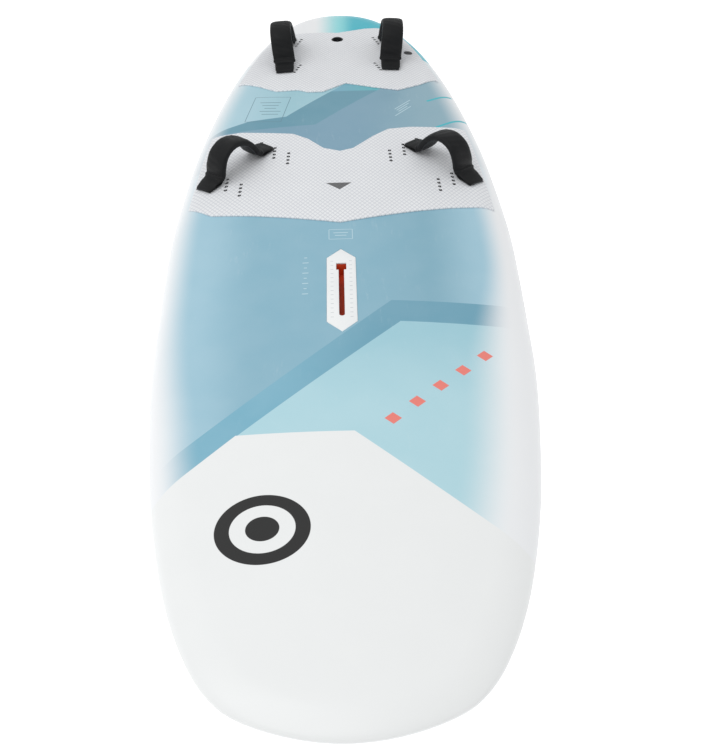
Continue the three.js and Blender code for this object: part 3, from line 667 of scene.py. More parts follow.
BAND_TOP = [((-0.249, 1.768), (0.084, 1.414)), ((0.0, 1.4), (0.3, 1.409))]
BAND_FOOT = [((-0.181, 1.768), (0.095, 1.481)), ((0.0, 1.462), (0.3, 1.474))]
NOSE_EDGE = [((-0.278, 1.87), (-0.183, 1.767)), ((-0.1, 1.766), (0.1, 1.768)),
             ((0.031, 1.781), (0.229, 1.988))]
AFT_CHEVRON = [((-0.3, 0.735), (-0.214, 0.697)), ((-0.214, 0.697), (-0.125, 0.689)),
               ((-0.125, 0.689), (0.019, 0.528))]
AFT_FOOT = [((-0.211, 0.741), (-0.093, 0.737)), ((-0.05, 0.73), (0.105, 0.556))]
STROKES = [((0.248, 0.594), 0.62, 0.04), ((0.268, 0.716), 0.65, 0.049)]
UNDER_FRONT_PAD, UNDER_REAR_PAD = 0.9, 0.36


def edge(tree, plan, start, end, softness=0.0012):
    """1 on the nose side of the line through two places, the first to starboard."""
    a, b = (np.array((x, TAIL_Y - t)) for x, t in (start, end))
    along = (b - a) / np.linalg.norm(b - a)
    across = (along[1], -along[0])
    return use_group(tree, PAINT_EDGE, "Mask", Place=plan, Across=(*across, 0.0),
                     Offset=float(np.dot(across, a)), Softness=softness)


def past_all(tree, masks):
    """1 where every mask is."""
    result = masks[0]
    for mask in masks[1:]:
        result = maths(tree, "MINIMUM", result, mask)
    return result


def past_any(tree, masks):
    """1 where any mask is."""
    result = masks[0]
    for mask in masks[1:]:
        result = maths(tree, "MAXIMUM", result, mask)
    return result


def bars(tree, plan, places):
    """Several bars, each (x, t, turn, half length, half width), as one mask."""
    return past_any(tree, [
        use_group(tree, BAR_MARK, "Mask", Place=plan, Centre=(x, TAIL_Y - t, 0.0),
                  Turn=turn, Half_Length=length, Half_Width=width)
        for x, t, turn, length, width in places])


def box_outline(x, t, half_length, half_width, turn=0.0, line=0.0007):
    """The four bars of a thin rectangle round a place."""
    c, s = math.cos(turn), math.sin(turn)
    sides = []
    for u, v, length, width in [(0, 1, half_length, line), (0, -1, half_length, line),
                                (1, 0, line, half_width), (-1, 0, line, half_width)]:
        du, dv = u * half_length, v * half_width
        sides.append((x + c * du - s * dv, t - s * du - c * dv, turn, length, width))
    return sides


def mark_rows(x, t, rows, step, half_length, turn=0.0):
    """Short bars one below another, a plain stand-in for lines of print."""
    return [(x, t + i * step, turn, half_length * (1 - 0.22 * (i % 3)), 0.0011) for i in range(rows)]


# %% Deck paint
def fields(tree, plan, across, t):
    """The blue fields of the deck, before they fade at the rails."""
    rail = add_node(tree, "ShaderNodeAttribute", {}, attribute_name="rail_distance").outputs["Fac"]
    side = remap(tree, across, -0.02, 0.3)
    middle_blue = mix(tree, side, MID_BLUE, PORT_BLUE)
    blue = mix(tree, remap(tree, rail, 0.07, 0.2), EDGE_BLUE, middle_blue)
    band = mix(tree, remap(tree, across, -0.15, 0.1), BAND_LIGHT, BAND_DARK)
    blue = mix(tree, past_all(tree, [edge(tree, plan, *e) for e in BAND_TOP]), blue, band)
    pale = mix(tree, remap(tree, t, 1.45, 1.72), PALE_NEAR, PALE_FAR)
    blue = mix(tree, past_all(tree, [edge(tree, plan, *e) for e in BAND_FOOT]), blue, pale)
    return blue, rail


def aft_fields(tree, plan, across):
    """The fields between the pads: pale on one side, a dark chevron, grey-blue on the other."""
    pale = mix(tree, remap(tree, across, -0.25, -0.1), colour("a8cdda"), AFT_LEFT)
    first, second, third = [edge(tree, plan, *e) for e in AFT_CHEVRON]
    chevron = past_any(tree, [past_all(tree, [first, second]), third])
    top = edge(tree, plan, (-0.1, 0.572), (0.1, 0.566))
    teal = mix(tree, remap(tree, across, -0.02, 0.1), AFT_TOP, colour("56b0ba"))
    dark = mix(tree, top, teal, AFT_DARK)
    foot = past_any(tree, [edge(tree, plan, *e) for e in AFT_FOOT])
    right = mix(tree, remap(tree, across, 0.0, 0.25), AFT_RIGHT, colour("86abba"))
    return mix(tree, foot, mix(tree, chevron, pale, dark), right)


def fade_mask(tree, rail, across, t):
    """0 on the white rail, 1 in full blue: the fade stands further in on the port side."""
    port = remap(tree, across, -0.05, 0.05)
    aft = remap(tree, t, 0.85, 1.1)
    port_start = maths(tree, "MULTIPLY", remap(tree, t, 1.2, 1.6, 0.022, 0.04), aft)
    port_end = maths(tree, "ADD", remap(tree, t, 1.25, 1.6, 0.08, 0.137),
                     maths(tree, "MULTIPLY_ADD", aft, 0.01, -0.01))
    other_start = remap(tree, t, 1.4, 1.75, 0.0, 0.01)
    other_end = remap(tree, t, 1.4, 1.75, 0.07, 0.09)
    start = remap(tree, port, 0.0, 1.0, other_start, port_start, "LINEAR")
    end = remap(tree, port, 0.0, 1.0, other_end, port_end, "LINEAR")
    return remap(tree, rail, start, end)


def deck_marks(tree, plan, paint):
    """Plain printed shapes: a ring and disc on the nose, coral diamonds, a label and ticks."""
    centre = (-0.126, TAIL_Y - 1.984, 0.0)
    ring = use_group(tree, RING_MARK, "Mask", Place=plan, Centre=centre, Radius=0.062,
                     Half_Width=0.0115)
    disc = use_group(tree, RING_MARK, "Mask", Place=plan, Centre=centre, Radius=0.0,
                     Half_Width=0.026)
    paint = mix(tree, past_any(tree, [ring, disc]), paint, INK)
    diamonds = [(0.083 + 0.0435 * i, 1.737 - 0.0437 * i, math.pi / 4, 0.0105, 0.0105)
                for i in range(5)]
    paint = mix(tree, bars(tree, plan, diamonds), paint, CORAL)
    label = box_outline(-0.17, 0.643, 0.044, 0.062, -0.17)
    label += mark_rows(-0.165, 0.61, 5, 0.015, 0.026, -0.17)
    paint = mix(tree, bars(tree, plan, label), paint, FAINT_INK)
    pale_marks = box_outline(0.0, 1.186, 0.024, 0.0165) + mark_rows(0.0, 1.181, 2, 0.009, 0.015)
    pale_marks += [(-0.071, 1.262 + 0.0165 * i, 0.0, 0.003 + 0.003 * (i % 2), 0.0012) for i in range(8)]
    pale_marks += mark_rows(0.155, 0.64, 4, 0.011, 0.032, 0.9)
    return mix(tree, bars(tree, plan, pale_marks), paint, colour("b9d5df"))


def deck_paint():
    """The whole deck: fields, fades, marks, and a satin lacquer with a faint spray texture."""
    material, tree, shader = new_material("deck_paint")
    place = object_place(tree)
    x, y, _ = add_node(tree, "ShaderNodeSeparateXYZ", {0: place}).outputs
    plan = add_node(tree, "ShaderNodeCombineXYZ", {0: x, 1: y}).outputs[0]
    t = maths(tree, "SUBTRACT", TAIL_Y, y)
    blue, rail = fields(tree, plan, x, t)
    aft = maths(tree, "LESS_THAN", t, UNDER_FRONT_PAD)
    blue = mix(tree, aft, blue, aft_fields(tree, plan, x))
    paint = mix(tree, fade_mask(tree, rail, x, t), WHITE, blue)
    paint = mix(tree, past_all(tree, [edge(tree, plan, *e) for e in NOSE_EDGE]), paint, NOSE_WHITE)
    strokes = bars(tree, plan, [(*c, turn, half, 0.0032) for c, turn, half in STROKES])
    paint = mix(tree, strokes, paint, colour("22b4c2"))
    tail_paint = mix(tree, remap(tree, x, 0.0, 0.05), PALE_TURQUOISE, TURQUOISE)
    tail_paint = mix(tree, remap(tree, x, -0.065, 0.01), WHITE, tail_paint)
    paint = mix(tree, maths(tree, "LESS_THAN", t, UNDER_REAR_PAD), paint, tail_paint)
    cloud = use_group(tree, FINE_GRAIN, "Cloud", Place=place, Scale=260.0)
    height = use_group(tree, FINE_GRAIN, "Height", Place=place, Scale=1500.0)
    wear = use_group(tree, LIGHT_WEAR, "Mask", Place=place, Amount=0.12)
    paint = mix(tree, remap(tree, cloud, 0.3, 0.7, 0.0, 0.03), paint, colour("ffffff"))
    paint = mix(tree, wear, paint, colour("e4ebee"))
    paint = deck_marks(tree, plan, paint)
    rough = remap(tree, maths(tree, "ADD", cloud, wear), 0.3, 0.8, 0.36, 0.5)
    wire(tree, shader, Base_Color=paint, Roughness=rough, Coat_Weight=0.12, Coat_Roughness=0.25,
         Normal=bump(tree, height, 0.00012, 0.5))
    return material


DECK_PAINT = deck_paint()
print("deck paint:", len(DECK_PAINT.node_tree.nodes), "nodes")

# %% [markdown]
# ## Other materials
#
# White lacquer underneath, EVA foam on the pads with its pressed diamonds, satin nylon for
# the track plate, black moulded nylon, raw foam, woven webbing, neoprene with a laminated
# knit face for the strap covers, glass laminate for the fin, brass, stainless steel, rubber.

# %% Hull and pad materials
def bottom_lacquer():
    """Glossy white lacquer with faint scuffs."""
    material, tree, shader = new_material("bottom_lacquer")
    place = object_place(tree)
    cloud = use_group(tree, FINE_GRAIN, "Cloud", Place=place, Scale=200.0)
    wear = use_group(tree, LIGHT_WEAR, "Mask", Place=place, Amount=0.35)
    tint = mix(tree, cloud, colour("e9ecee"), colour("f4f6f7"))
    wire(tree, shader, Base_Color=mix(tree, wear, tint, colour("cfd4d7")),
         Roughness=remap(tree, wear, 0.0, 0.3, 0.22, 0.5), Coat_Weight=0.3, Coat_Roughness=0.1)
    return material


def deck_pad_foam():
    """Closed-cell foam: pale grey, a pressed diamond pattern, a fine pebbled grain, and grooves
    painted darker than the top: painted shade in the recesses."""
    material, tree, shader = new_material("deck_pad_foam")
    place = object_place(tree)
    grooves = use_group(tree, DIAMOND_GROOVES, "Height", Place=place, Width=PAD_DIAMOND[0],
                        Length=PAD_DIAMOND[1])
    grain = use_group(tree, FINE_GRAIN, "Height", Place=place, Scale=900.0)
    cloud = use_group(tree, FINE_GRAIN, "Cloud", Place=place, Scale=220.0)
    top = mix(tree, cloud, colour("e4e6e9"), colour("eceef0"))
    # Painted shade: the low lines of the grooves are painted a darker grey than the top.
    face = mix(tree, grooves, colour("cdd0d6"), top)
    triangle = past_all(tree, [
        edge(tree, place, (-0.05, 1.0), (0.05, 1.0)),
        maths(tree, "SUBTRACT", 1.0, edge(tree, place, (-0.0035, 1.03), (0.026, 1.0))),
        maths(tree, "SUBTRACT", 1.0, edge(tree, place, (-0.03, 1.0), (0.0035, 1.03)))])
    face = mix(tree, maths(tree, "MULTIPLY", triangle, 0.85), face, INK)
    low = bump(tree, grooves, 0.0006, 0.6)
    fine = add_node(tree, "ShaderNodeBump", {"Height": grain, "Distance": 0.0001,
                                             "Strength": 0.4, "Normal": low}).outputs[0]
    wire(tree, shader, Base_Color=face, Roughness=remap(tree, cloud, 0.3, 0.7, 0.62, 0.78),
         Normal=fine, Sheen_Weight=0.15, Sheen_Roughness=0.5)
    return material


def raw_foam():
    """Expanded foam: packed white beads."""
    material, tree, shader = new_material("raw_foam")
    beads = add_node(tree, "ShaderNodeTexVoronoi", {"Vector": object_place(tree), "Scale": 260.0})
    tint = mix(tree, remap(tree, beads.outputs[0], 0.1, 0.7), colour("f2f3f3"), colour("d3d6d8"))
    wire(tree, shader, Base_Color=tint, Roughness=0.8,
         Normal=bump(tree, beads.outputs[0], 0.0008, -0.6))
    return material


PAD_DIAMOND = (0.0105, 0.0135)
BOTTOM_LACQUER, PAD_FOAM, RAW_FOAM = bottom_lacquer(), deck_pad_foam(), raw_foam()
print("hull materials:", BOTTOM_LACQUER.name, PAD_FOAM.name, RAW_FOAM.name)


# %% Plastics, metals, rubber and laminate
def moulded(name, dark, light, rough, grain=900.0, height=0.00006):
    """A moulded plastic or rubber: a fine grain, slightly uneven in tone and gloss."""
    material, tree, shader = new_material(name)
    place = object_place(tree)
    relief = use_group(tree, FINE_GRAIN, "Height", Place=place, Scale=grain)
    cloud = use_group(tree, FINE_GRAIN, "Cloud", Place=place, Scale=grain)
    wire(tree, shader, Base_Color=mix(tree, cloud, colour(dark), colour(light)),
         Roughness=remap(tree, cloud, 0.3, 0.7, rough - 0.06, rough + 0.08),
         Normal=bump(tree, relief, height, 0.5))
    return material


def metal(name, tint, rough, brushed=600.0):
    """A machined metal: bright, with fine marks across its axis."""
    material, tree, shader = new_material(name)
    place = object_place(tree)
    stretched = vector_maths(tree, "MULTIPLY", "Vector", place, (brushed, brushed, brushed * 6))
    marks = noise(tree, stretched, 1.0, 3.0)
    wire(tree, shader, Base_Color=mix(tree, marks, colour(tint), colour("e6e6e4")), Metallic=1.0,
         Roughness=remap(tree, marks, 0.3, 0.7, rough, rough + 0.15),
         Normal=bump(tree, marks, 0.00003, 0.4))
    return material


def track_plate_white():
    """Satin white nylon with a faint scale of ticks printed beside the slot."""
    material, tree, shader = new_material("track_plate_white")
    place = object_place(tree)
    relief = use_group(tree, FINE_GRAIN, "Height", Place=place, Scale=1100.0)
    cloud = use_group(tree, FINE_GRAIN, "Cloud", Place=place, Scale=300.0)
    ticks = bars(tree, place, [(side * 0.0185, 1.2775 + 0.0135 * i, 0.0, 0.0028, 0.0007)
                               for side in (-1, 1) for i in range(14)])
    face = mix(tree, cloud, colour("e9eced"), colour("f3f5f5"))
    wire(tree, shader, Base_Color=mix(tree, ticks, face, colour("c3c9cc")),
         Roughness=remap(tree, cloud, 0.3, 0.7, 0.38, 0.5), Normal=bump(tree, relief, 0.0001, 0.5))
    return material


def fin_laminate():
    """Glass laminate: dark, with the weave of the cloth just visible under a clear coat."""
    material, tree, shader = new_material("fin_laminate")
    place = object_place(tree)
    y, z = add_node(tree, "ShaderNodeSeparateXYZ", {0: place}).outputs[1:3]
    flat = add_node(tree, "ShaderNodeCombineXYZ", {0: y, 1: z}).outputs[0]
    weave = use_group(tree, CLOTH_WEAVE, "Height", Place=flat, Pitch=0.003)
    tint = mix(tree, weave, colour("1b1f22"), colour("30363a"))
    wire(tree, shader, Base_Color=tint, Roughness=0.35, Coat_Weight=0.8, Coat_Roughness=0.06,
         Normal=bump(tree, weave, 0.00005, 0.3))
    return material


TRACK_WHITE, LAMINATE = track_plate_white(), fin_laminate()
TRACK_ORANGE = moulded("track_orange", "c2380f", "dd4d1c", 0.5)
BLACK_NYLON = moulded("black_nylon", "15171a", "202327", 0.45)
INSERT_NYLON = moulded("insert_nylon", "030303", "080809", 0.7)
RUBBER = moulded("rubber", "121314", "1b1c1d", 0.7)
FIN_RESIN = moulded("fin_resin", "23272a", "2f3438", 0.4)
BRASS, STAINLESS = metal("brass", "b8924a", 0.25), metal("stainless", "b6b8ba", 0.2)
print("plastics and metals ready")


# %% Strap fabrics
def woven_webbing():
    """Flat black webbing: over and under."""
    material, tree, shader = new_material("woven_webbing")
    place = surface_place(tree)
    weave = use_group(tree, CLOTH_WEAVE, "Height", Place=place, Pitch=0.0017)
    wire(tree, shader, Base_Color=mix(tree, weave, colour("0e1011"), colour("26292c")),
         Roughness=0.75, Normal=bump(tree, weave, 0.0005, 0.8), Sheen_Weight=0.05)
    return material


def strap_neoprene():
    """Neoprene faced with a fine knit: near black, bluish where it turns away, with panels
    marked off by dark seams at set distances round the cover, and a painted highlight on the top panel."""
    material, tree, shader = new_material("strap_neoprene")
    place = surface_place(tree)
    knit = use_group(tree, CLOTH_WEAVE, "Height", Place=place, Pitch=0.0011)
    cloud = use_group(tree, FINE_GRAIN, "Cloud", Place=place, Scale=420.0)
    y = add_node(tree, "ShaderNodeSeparateXYZ", {0: place}).outputs[1]
    piping = remap(tree, maths(tree, "ABSOLUTE", maths(tree, "SUBTRACT", maths(
        tree, "ABSOLUTE", y), PIPING_AT)), 0.0009, 0.0016, 1.0, 0.0)
    cloth = mix(tree, cloud, colour("08090b"), colour("0f1113"))
    # Painted highlight: the top panel between the piping is painted lighter and bluer, where the top
    # faces the light.
    top = remap(tree, maths(tree, "ABSOLUTE", y), PIPING_AT, PIPING_AT - 0.004)
    cloth = mix(tree, maths(tree, "MULTIPLY", top, 0.6), cloth, colour("15191c"))
    cloth = mix(tree, piping, cloth, colour("07080a"))
    wire(tree, shader, Base_Color=cloth, Roughness=remap(tree, cloud, 0.3, 0.7, 0.5, 0.66),
         Normal=bump(tree, knit, 0.00025, 0.6), Sheen_Weight=0.03, Sheen_Roughness=0.4,
         Sheen_Tint=colour("9fb2bd"), Specular_IOR_Level=0.25)
    return material


def thread():
    """Pale grey polyester thread, twisted."""
    material, tree, shader = new_material("thread")
    twist = noise(tree, object_place(tree), 2500.0, 2.0)
    wire(tree, shader, Base_Color=mix(tree, twist, colour("4a5055"), colour("6d747a")),
         Roughness=0.6, Normal=bump(tree, twist, 0.0002, 0.6))
    return material


PIPING_AT = 0.0238
WEBBING_CLOTH, NEOPRENE, THREAD = woven_webbing(), strap_neoprene(), thread()
print("strap fabrics:", WEBBING_CLOTH.name, NEOPRENE.name, THREAD.name)

# %% [markdown]
# ## Deck and bottom
#
# Each shell is a closed sheet: the outer face is the height field, taken on a grid that is
# fine near the rails, and the inner face is the same face drawn in towards the rail line by
# the thickness of the skin. The openings for the mast track, the fin bolt, the vent and the
# strap inserts are then cut out with solids of the same size as the CAD's. After the cut the
# deck gets its `rail_distance` attribute, which the paint fades by.

# %% The two shells
DECK_ROWS, DECK_COLUMNS = 240, 120
SLEEVE_HOLE, VENT_HOLE = 0.0158, 0.0113
PLATE_HALF, PLATE_SHOULDER, FIT = 0.029, 0.03, 0.0003
PLATE_TAIL, PLATE_NOSE = 1.236, 1.496
INSERT_POCKET = (0.0186, 0.0626)
FIN_BOX_POCKET = (0.0466, 0.1706)
BOLT_PLACE = (0.0, middle("fin_bolt").y)
VENT_PLACE = (0.185, TAIL_Y - middle("vent_screw").y)
INSERTS = [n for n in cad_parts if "insert" in n]


def plan_grid():
    """x and t over the whole outline: rows from tail to nose, columns from rail to rail."""
    share = (1 - np.cos(np.pi * np.linspace(0, 1, DECK_ROWS))) / 2
    t = (LENGTH * share)[:, None] * np.ones(DECK_COLUMNS)
    x = half_width_at(t) * np.sin(np.linspace(-np.pi / 2, np.pi / 2, DECK_COLUMNS))
    return x, t


def sheet_points(x, t, z):
    """Points of a sheet from places and heights."""
    return np.stack([x, TAIL_Y - t, z], axis=-1)


def shell(name, height, seam):
    """A closed sheet under one height field: outer face, and the same face drawn in."""
    x, t = plan_grid()
    side = seam * quarter_round(inside_by(x, t), DECK_RAIL)
    outer = sheet_points(x, t, height(x, t) + side)
    rail = rail_height(t)
    depth = np.abs(outer[..., 2] - rail)
    keep = np.maximum(0, depth - SKIN) / np.maximum(depth, SEAM)
    inner = sheet_points(x * (1 - 0.012 * keep), t, rail + (outer[..., 2] - rail) * keep)
    return new_object(name, mesh_of(name, [outer, inner]))


def insert_frame(node):
    """The frame of an insert or strap screw from its CAD box: the middle is carried up to the
    deck along the deck's normal, and turned as the row is."""
    place = middle(node)
    turn = 2 if node.startswith("front") else 18
    near = deck_frame(place.x, TAIL_Y - place.y, turn, 0.0)
    lift = (near[:3, 3] - np.array(place)) @ near[:3, 2]
    x, y, _ = np.array(place) + near[:3, 2] * lift
    return deck_frame(x, TAIL_Y - y, turn, 0.0)


def plate_outline(grow=FIT):
    """The mast track plate from above: a rectangle with a point at each end."""
    tail, nose = PLATE_TAIL - grow, PLATE_NOSE + grow
    half, middle_t = PLATE_HALF + grow, (PLATE_TAIL + PLATE_NOSE) / 2
    reach = (nose - tail) / 2 - PLATE_SHOULDER
    y = TAIL_Y - middle_t
    tip = (nose - tail) / 2
    corners = [(0, tip), (-half, reach), (-half, -reach), (0, -tip), (half, -reach), (half, reach)]
    return np.array(corners) + (0, y)


def make_shells():
    """Deck and bottom with their openings."""
    deck = shell("deck", deck_height, SEAM)
    tools = [prism(circle(SLEEVE_HOLE), -0.1, 0.1, standing(*BOLT_PLACE, 0.09)),
             turned([(0, -0.1), (VENT_HOLE, -0.1), (VENT_HOLE, 0.1), (0, 0.1)],
                    deck_frame(*VENT_PLACE, 0, 0)),
             prism(plate_outline(), 0.05, 0.3, np.eye(4))]
    tools += [prism(rectangle(*INSERT_POCKET), -0.02, 0.02, insert_frame(n)) for n in INSERTS]
    cut_away(deck, tools)
    points = np.empty(len(deck.data.vertices) * 3)
    deck.data.vertices.foreach_get("co", points)
    x, y, _ = points.reshape(-1, 3).T
    distance = deck.data.attributes.new("rail_distance", "FLOAT", "POINT")
    distance.data.foreach_set("value", inside_by(x, TAIL_Y - y).astype(np.float32))
    fit(deck, DECK_PAINT, "hull", "deck_lacquer", "deck_shell")
    bottom = shell("bottom", bottom_height, 0.0)
    slot = prism(rectangle(*FIN_BOX_POCKET), -0.05, 0.05, standing(0, TAIL_Y - 0.255))
    cut_away(bottom, [slot])
    fit(bottom, BOTTOM_LACQUER, "hull", "bottom_lacquer", "bottom_shell")


make_shells()

# %% [markdown]
# ## Deck pads
#
# The pads are sheets of EVA foam glued to the deck, cut with a knife and with the edge eased
# over. Each is a grid stretched between the line of its tail edge and the line of its nose
# edge, with extra lines close to the border for the rounded edge. The foam is soft. Holes for
# the inserts, the fin bolt and the vent are punched through.

# %% Pad shapes
PAD_INSET, PAD_TOP, PAD_GAP, PAD_ROUND, PAD_WALL = 0.028, 0.0046, 0.0003, 0.0028, 0.0012
PAD_COLUMNS, PAD_ROWS = 200, 150
PUNCH, HOLE_PITCH, HOLES = 0.0042, 0.0145, 4
REAR_TAIL = [(-0.13, 0.2), (-0.04, 0.2), (0.0, 0.206), (0.04, 0.192), (0.075, 0.178),
             (0.105, 0.174), (0.135, 0.18)]
REAR_NOSE = [(-0.243, 0.49), (-0.201, 0.516), (-0.154, 0.555), (-0.099, 0.556),
             (-0.074, 0.571), (-0.037, 0.572), (0.019, 0.528), (0.087, 0.552),
             (0.148, 0.566), (0.2, 0.533), (0.243, 0.495)]
FRONT_TAIL = [(-0.27, 0.754), (-0.23, 0.751), (-0.106, 0.778), (-0.071, 0.805),
              (-0.036, 0.849), (0.002, 0.865), (0.032, 0.853), (0.079, 0.799),
              (0.115, 0.766), (0.167, 0.754), (0.27, 0.748)]
FRONT_NOSE = [(-0.337, 1.04), (-0.275, 1.089), (-0.186, 1.105), (0.0, 1.146),
              (0.158, 1.106), (0.231, 1.09), (0.301, 1.079)]


def shares_of(line):
    """The corners of an edge as shares of the half width that the pad has there."""
    x, t = np.array(line).T
    return x / (half_width_at(t) - PAD_INSET), t


def close_lines(reach, length):
    """Extra grid lines near both ends of 0 to 1, for an edge rounded over a reach."""
    offsets = reach * np.array([0.04, 0.15, 0.33, 0.6, 1.0]) / length
    return np.concatenate([offsets, 1 - offsets])


def pad_sheet(tail_line, nose_line):
    """The top and bottom of a pad. The edge's round is a quarter circle of the distance to
    the nearest border, above a short wall."""
    (tail_u, tail_t), (nose_u, nose_t) = shares_of(tail_line), shares_of(nose_line)
    u = np.concatenate([np.linspace(-1, 1, PAD_COLUMNS), tail_u, nose_u,
                        2 * close_lines(PAD_ROUND, 0.6) - 1])
    u = np.unique(np.clip(u, -1, 1).round(5))
    v = np.unique(np.concatenate([np.linspace(0, 1, PAD_ROWS), close_lines(PAD_ROUND, 0.35)]).round(5))
    u, v = np.meshgrid(u, v)
    tail, nose = np.interp(u, tail_u, tail_t), np.interp(u, nose_u, nose_t)
    t = (1 - v) * tail + v * nose
    width = half_width_at(t) - PAD_INSET
    x = u * width
    to_border = np.minimum((1 - np.abs(u)) * width, np.minimum(v, 1 - v) * (nose - tail))
    low = deck_height(x, t) + SEAM + PAD_GAP
    rise = PAD_TOP - SEAM - PAD_GAP
    high = low + PAD_WALL + (rise - PAD_WALL) * quarter_round(to_border, PAD_ROUND)
    return sheet_points(x, t, high), sheet_points(x, t, low)


def punched(row_name):
    """The cutters for the insert holes of the pad that a set of rows lies under."""
    tools = []
    for node in [n for n in INSERTS if n.startswith(row_name)]:
        for i in range(HOLES):
            centre = (0, (i - (HOLES - 1) / 2) * HOLE_PITCH)
            ring = circle(PUNCH, 20, centre)
            tools.append(prism(ring, -0.01, 0.02, insert_frame(node)))
    return tools


def deck_pad(name, tail_line, nose_line, tools, node):
    """A pad with its holes."""
    pad = new_object(name, mesh_of(name, slab(*pad_sheet(tail_line, nose_line))))
    cut_away(pad, tools)
    fit(pad, PAD_FOAM, "hull", "eva_pad", node, sharp_angle=50)


REAR_TOOLS = punched("rear") + [
    prism(circle(SLEEVE_HOLE), -0.05, 0.05, standing(*BOLT_PLACE, 0.09)),
    turned([(0, -0.02), (VENT_HOLE, -0.02), (VENT_HOLE, 0.03), (0, 0.03)],
           deck_frame(*VENT_PLACE, 0, 0))]
deck_pad("rear_pad", REAR_TAIL, REAR_NOSE, REAR_TOOLS, "rear_deck_pad")
deck_pad("front_pad", FRONT_TAIL, FRONT_NOSE, punched("front"), "front_deck_pad")

# %% [markdown]
# ## Footstraps
#
# A footstrap is a band of webbing, screwed down at both ends, inside a padded cover that ends
# in two thin flaps over the screws. Both follow one curve from foot to foot: the webbing is a
# flat bar swept along it, the cover a rounded bar whose width and thickness change from flap
# to cuff to arch, with a raised panel on top, piping along both sides and light wrinkles. Two
# rows of stitches run beside the piping.

# %% The strap's path
STRAP_RISE = {"front": 0.071, "rear": 0.082}
STRAP_SKEW = {"front": 0.2, "rear": 0.0}
STRAP_LEAN = {"front": 0.0, "rear": 0.12}
PATH_STEPS, SECTION_STEPS = 150, 72
WEB_HALF_WIDTH, WEB_HALF_THICKNESS = 0.022, 0.0015
FLAT_WIDTH = [(0, 0.0175), (0.003, 0.0212), (0.008, 0.0235), (0.03, 0.0243), (0.037, 0.0246),
              (0.042, 0.0270), (0.07, 0.0275), (0.11, 0.0268), (0.16, 0.0262)]
FLAT_THICKNESS = [(0, 0.0016), (0.004, 0.0027), (0.03, 0.0036), (0.037, 0.0042),
                  (0.042, 0.0076), (0.06, 0.0084), (0.16, 0.0082)]


def cover_path(half, rise):
    """The side points of the cover, from one foot to the top and down to the other."""
    side = [(half + 0.027, 0.0058), (half + 0.015, 0.0078), (half + 0.004, 0.0112),
            (half - 0.009, 0.0134), (half - 0.02, 0.019), (half - 0.028, 0.038),
            (half - 0.047, 0.86 * rise + 0.002)]
    return side + [(0, rise + 0.0026)] + [(-u, h) for u, h in reversed(side)]


def webbing_path(half, rise):
    """The path of the webbing: flat tabs, then up into the arch."""
    side = [(half + 0.026, 0.0031), (half + 0.006, 0.0031), (half - 0.009, 0.0036),
            (half - 0.019, 0.0095), (half - 0.029, 0.037), (half - 0.049, 0.86 * rise)]
    return side + [(0, rise)] + [(-u, h) for u, h in reversed(side)]


def curve_through(points, steps):
    """A centripetal Catmull-Rom curve through points in a plane, as evenly spaced points."""
    p = np.array(points)
    p = np.vstack([2 * p[0] - p[1], p, 2 * p[-1] - p[-2]])
    knots = np.concatenate([[0], np.cumsum(np.linalg.norm(np.diff(p, axis=0), axis=1) ** 0.5)])
    curve = []
    for i in range(1, len(p) - 2):
        s = np.linspace(knots[i], knots[i + 1], 30, endpoint=False)[:, None]
        k = knots[i - 1:i + 3]
        near = [(k[j + 1] - s) / (k[j + 1] - k[j]) * p[i - 1 + j]
                + (s - k[j]) / (k[j + 1] - k[j]) * p[i + j] for j in range(3)]
        wide = [(k[j + 2] - s) / (k[j + 2] - k[j]) * near[j]
                + (s - k[j]) / (k[j + 2] - k[j]) * near[j + 1] for j in range(2)]
        curve.append((k[2] - s) / (k[2] - k[1]) * wide[0] + (s - k[1]) / (k[2] - k[1]) * wide[1])
    curve = np.vstack(curve + [p[-2:-1]])
    along = np.concatenate([[0], np.cumsum(np.linalg.norm(np.diff(curve, axis=0), axis=1))])
    even = np.linspace(0, along[-1], steps)
    return np.column_stack([np.interp(even, along, curve[:, k]) for k in (0, 1)]), even


class StrapPlace:
    """Where a strap stands: its two feet, from the strap's screws, and the line between."""

    def __init__(self, row, side):
        feet = [insert_frame(f"{row}_strap_screw_{side}_{end}")[:2, 3] for end in ("tail", "nose")]
        self.middle = (feet[0] + feet[1]) / 2
        span = feet[1] - feet[0]
        self.half = np.linalg.norm(span) / 2
        self.along = span / (2 * self.half)
        self.rise = STRAP_RISE[row]
        self.skew = STRAP_SKEW[row]
        self.lean = STRAP_LEAN[row] * (1 if side == "port" else -1)

    def points(self, u, v, h):
        """u along the line of the feet, v across it, h above the pads. The arch is skewed
        towards the nose foot and leans outboard, both in proportion to its height."""
        u = u + self.skew * np.maximum(0, h)
        v = v + self.lean * np.maximum(0, h)
        x = self.middle[0] + self.along[0] * u - self.along[1] * v
        y = self.middle[1] + self.along[1] * u + self.along[0] * v
        return np.stack([x, y, deck_height(x, TAIL_Y - y) + PAD_TOP + h], axis=-1)


def swept(place, path, across, outward):
    """Sections swept along a path: across and outward hold a row for each step."""
    heading = np.gradient(path, axis=0)
    heading /= np.linalg.norm(heading, axis=1)[:, None]
    u = path[:, :1] + heading[:, 1:] * outward
    h = path[:, 1:] - heading[:, :1] * outward
    return place.points(u, across, h)


print("front strap stands over", StrapPlace("front", "port").middle.round(3))


# %% Strap sections
def top_panel(across, width):
    """The raised panel and the piping beside it, as an extra height."""
    share = np.abs(across) / width
    panel = 0.0011 * (1 - np.clip((share - 0.78) / 0.06, 0, 1))
    piping = 0.0013 * np.exp(-((share - 0.87) * width / 0.0013) ** 2)
    return panel + piping


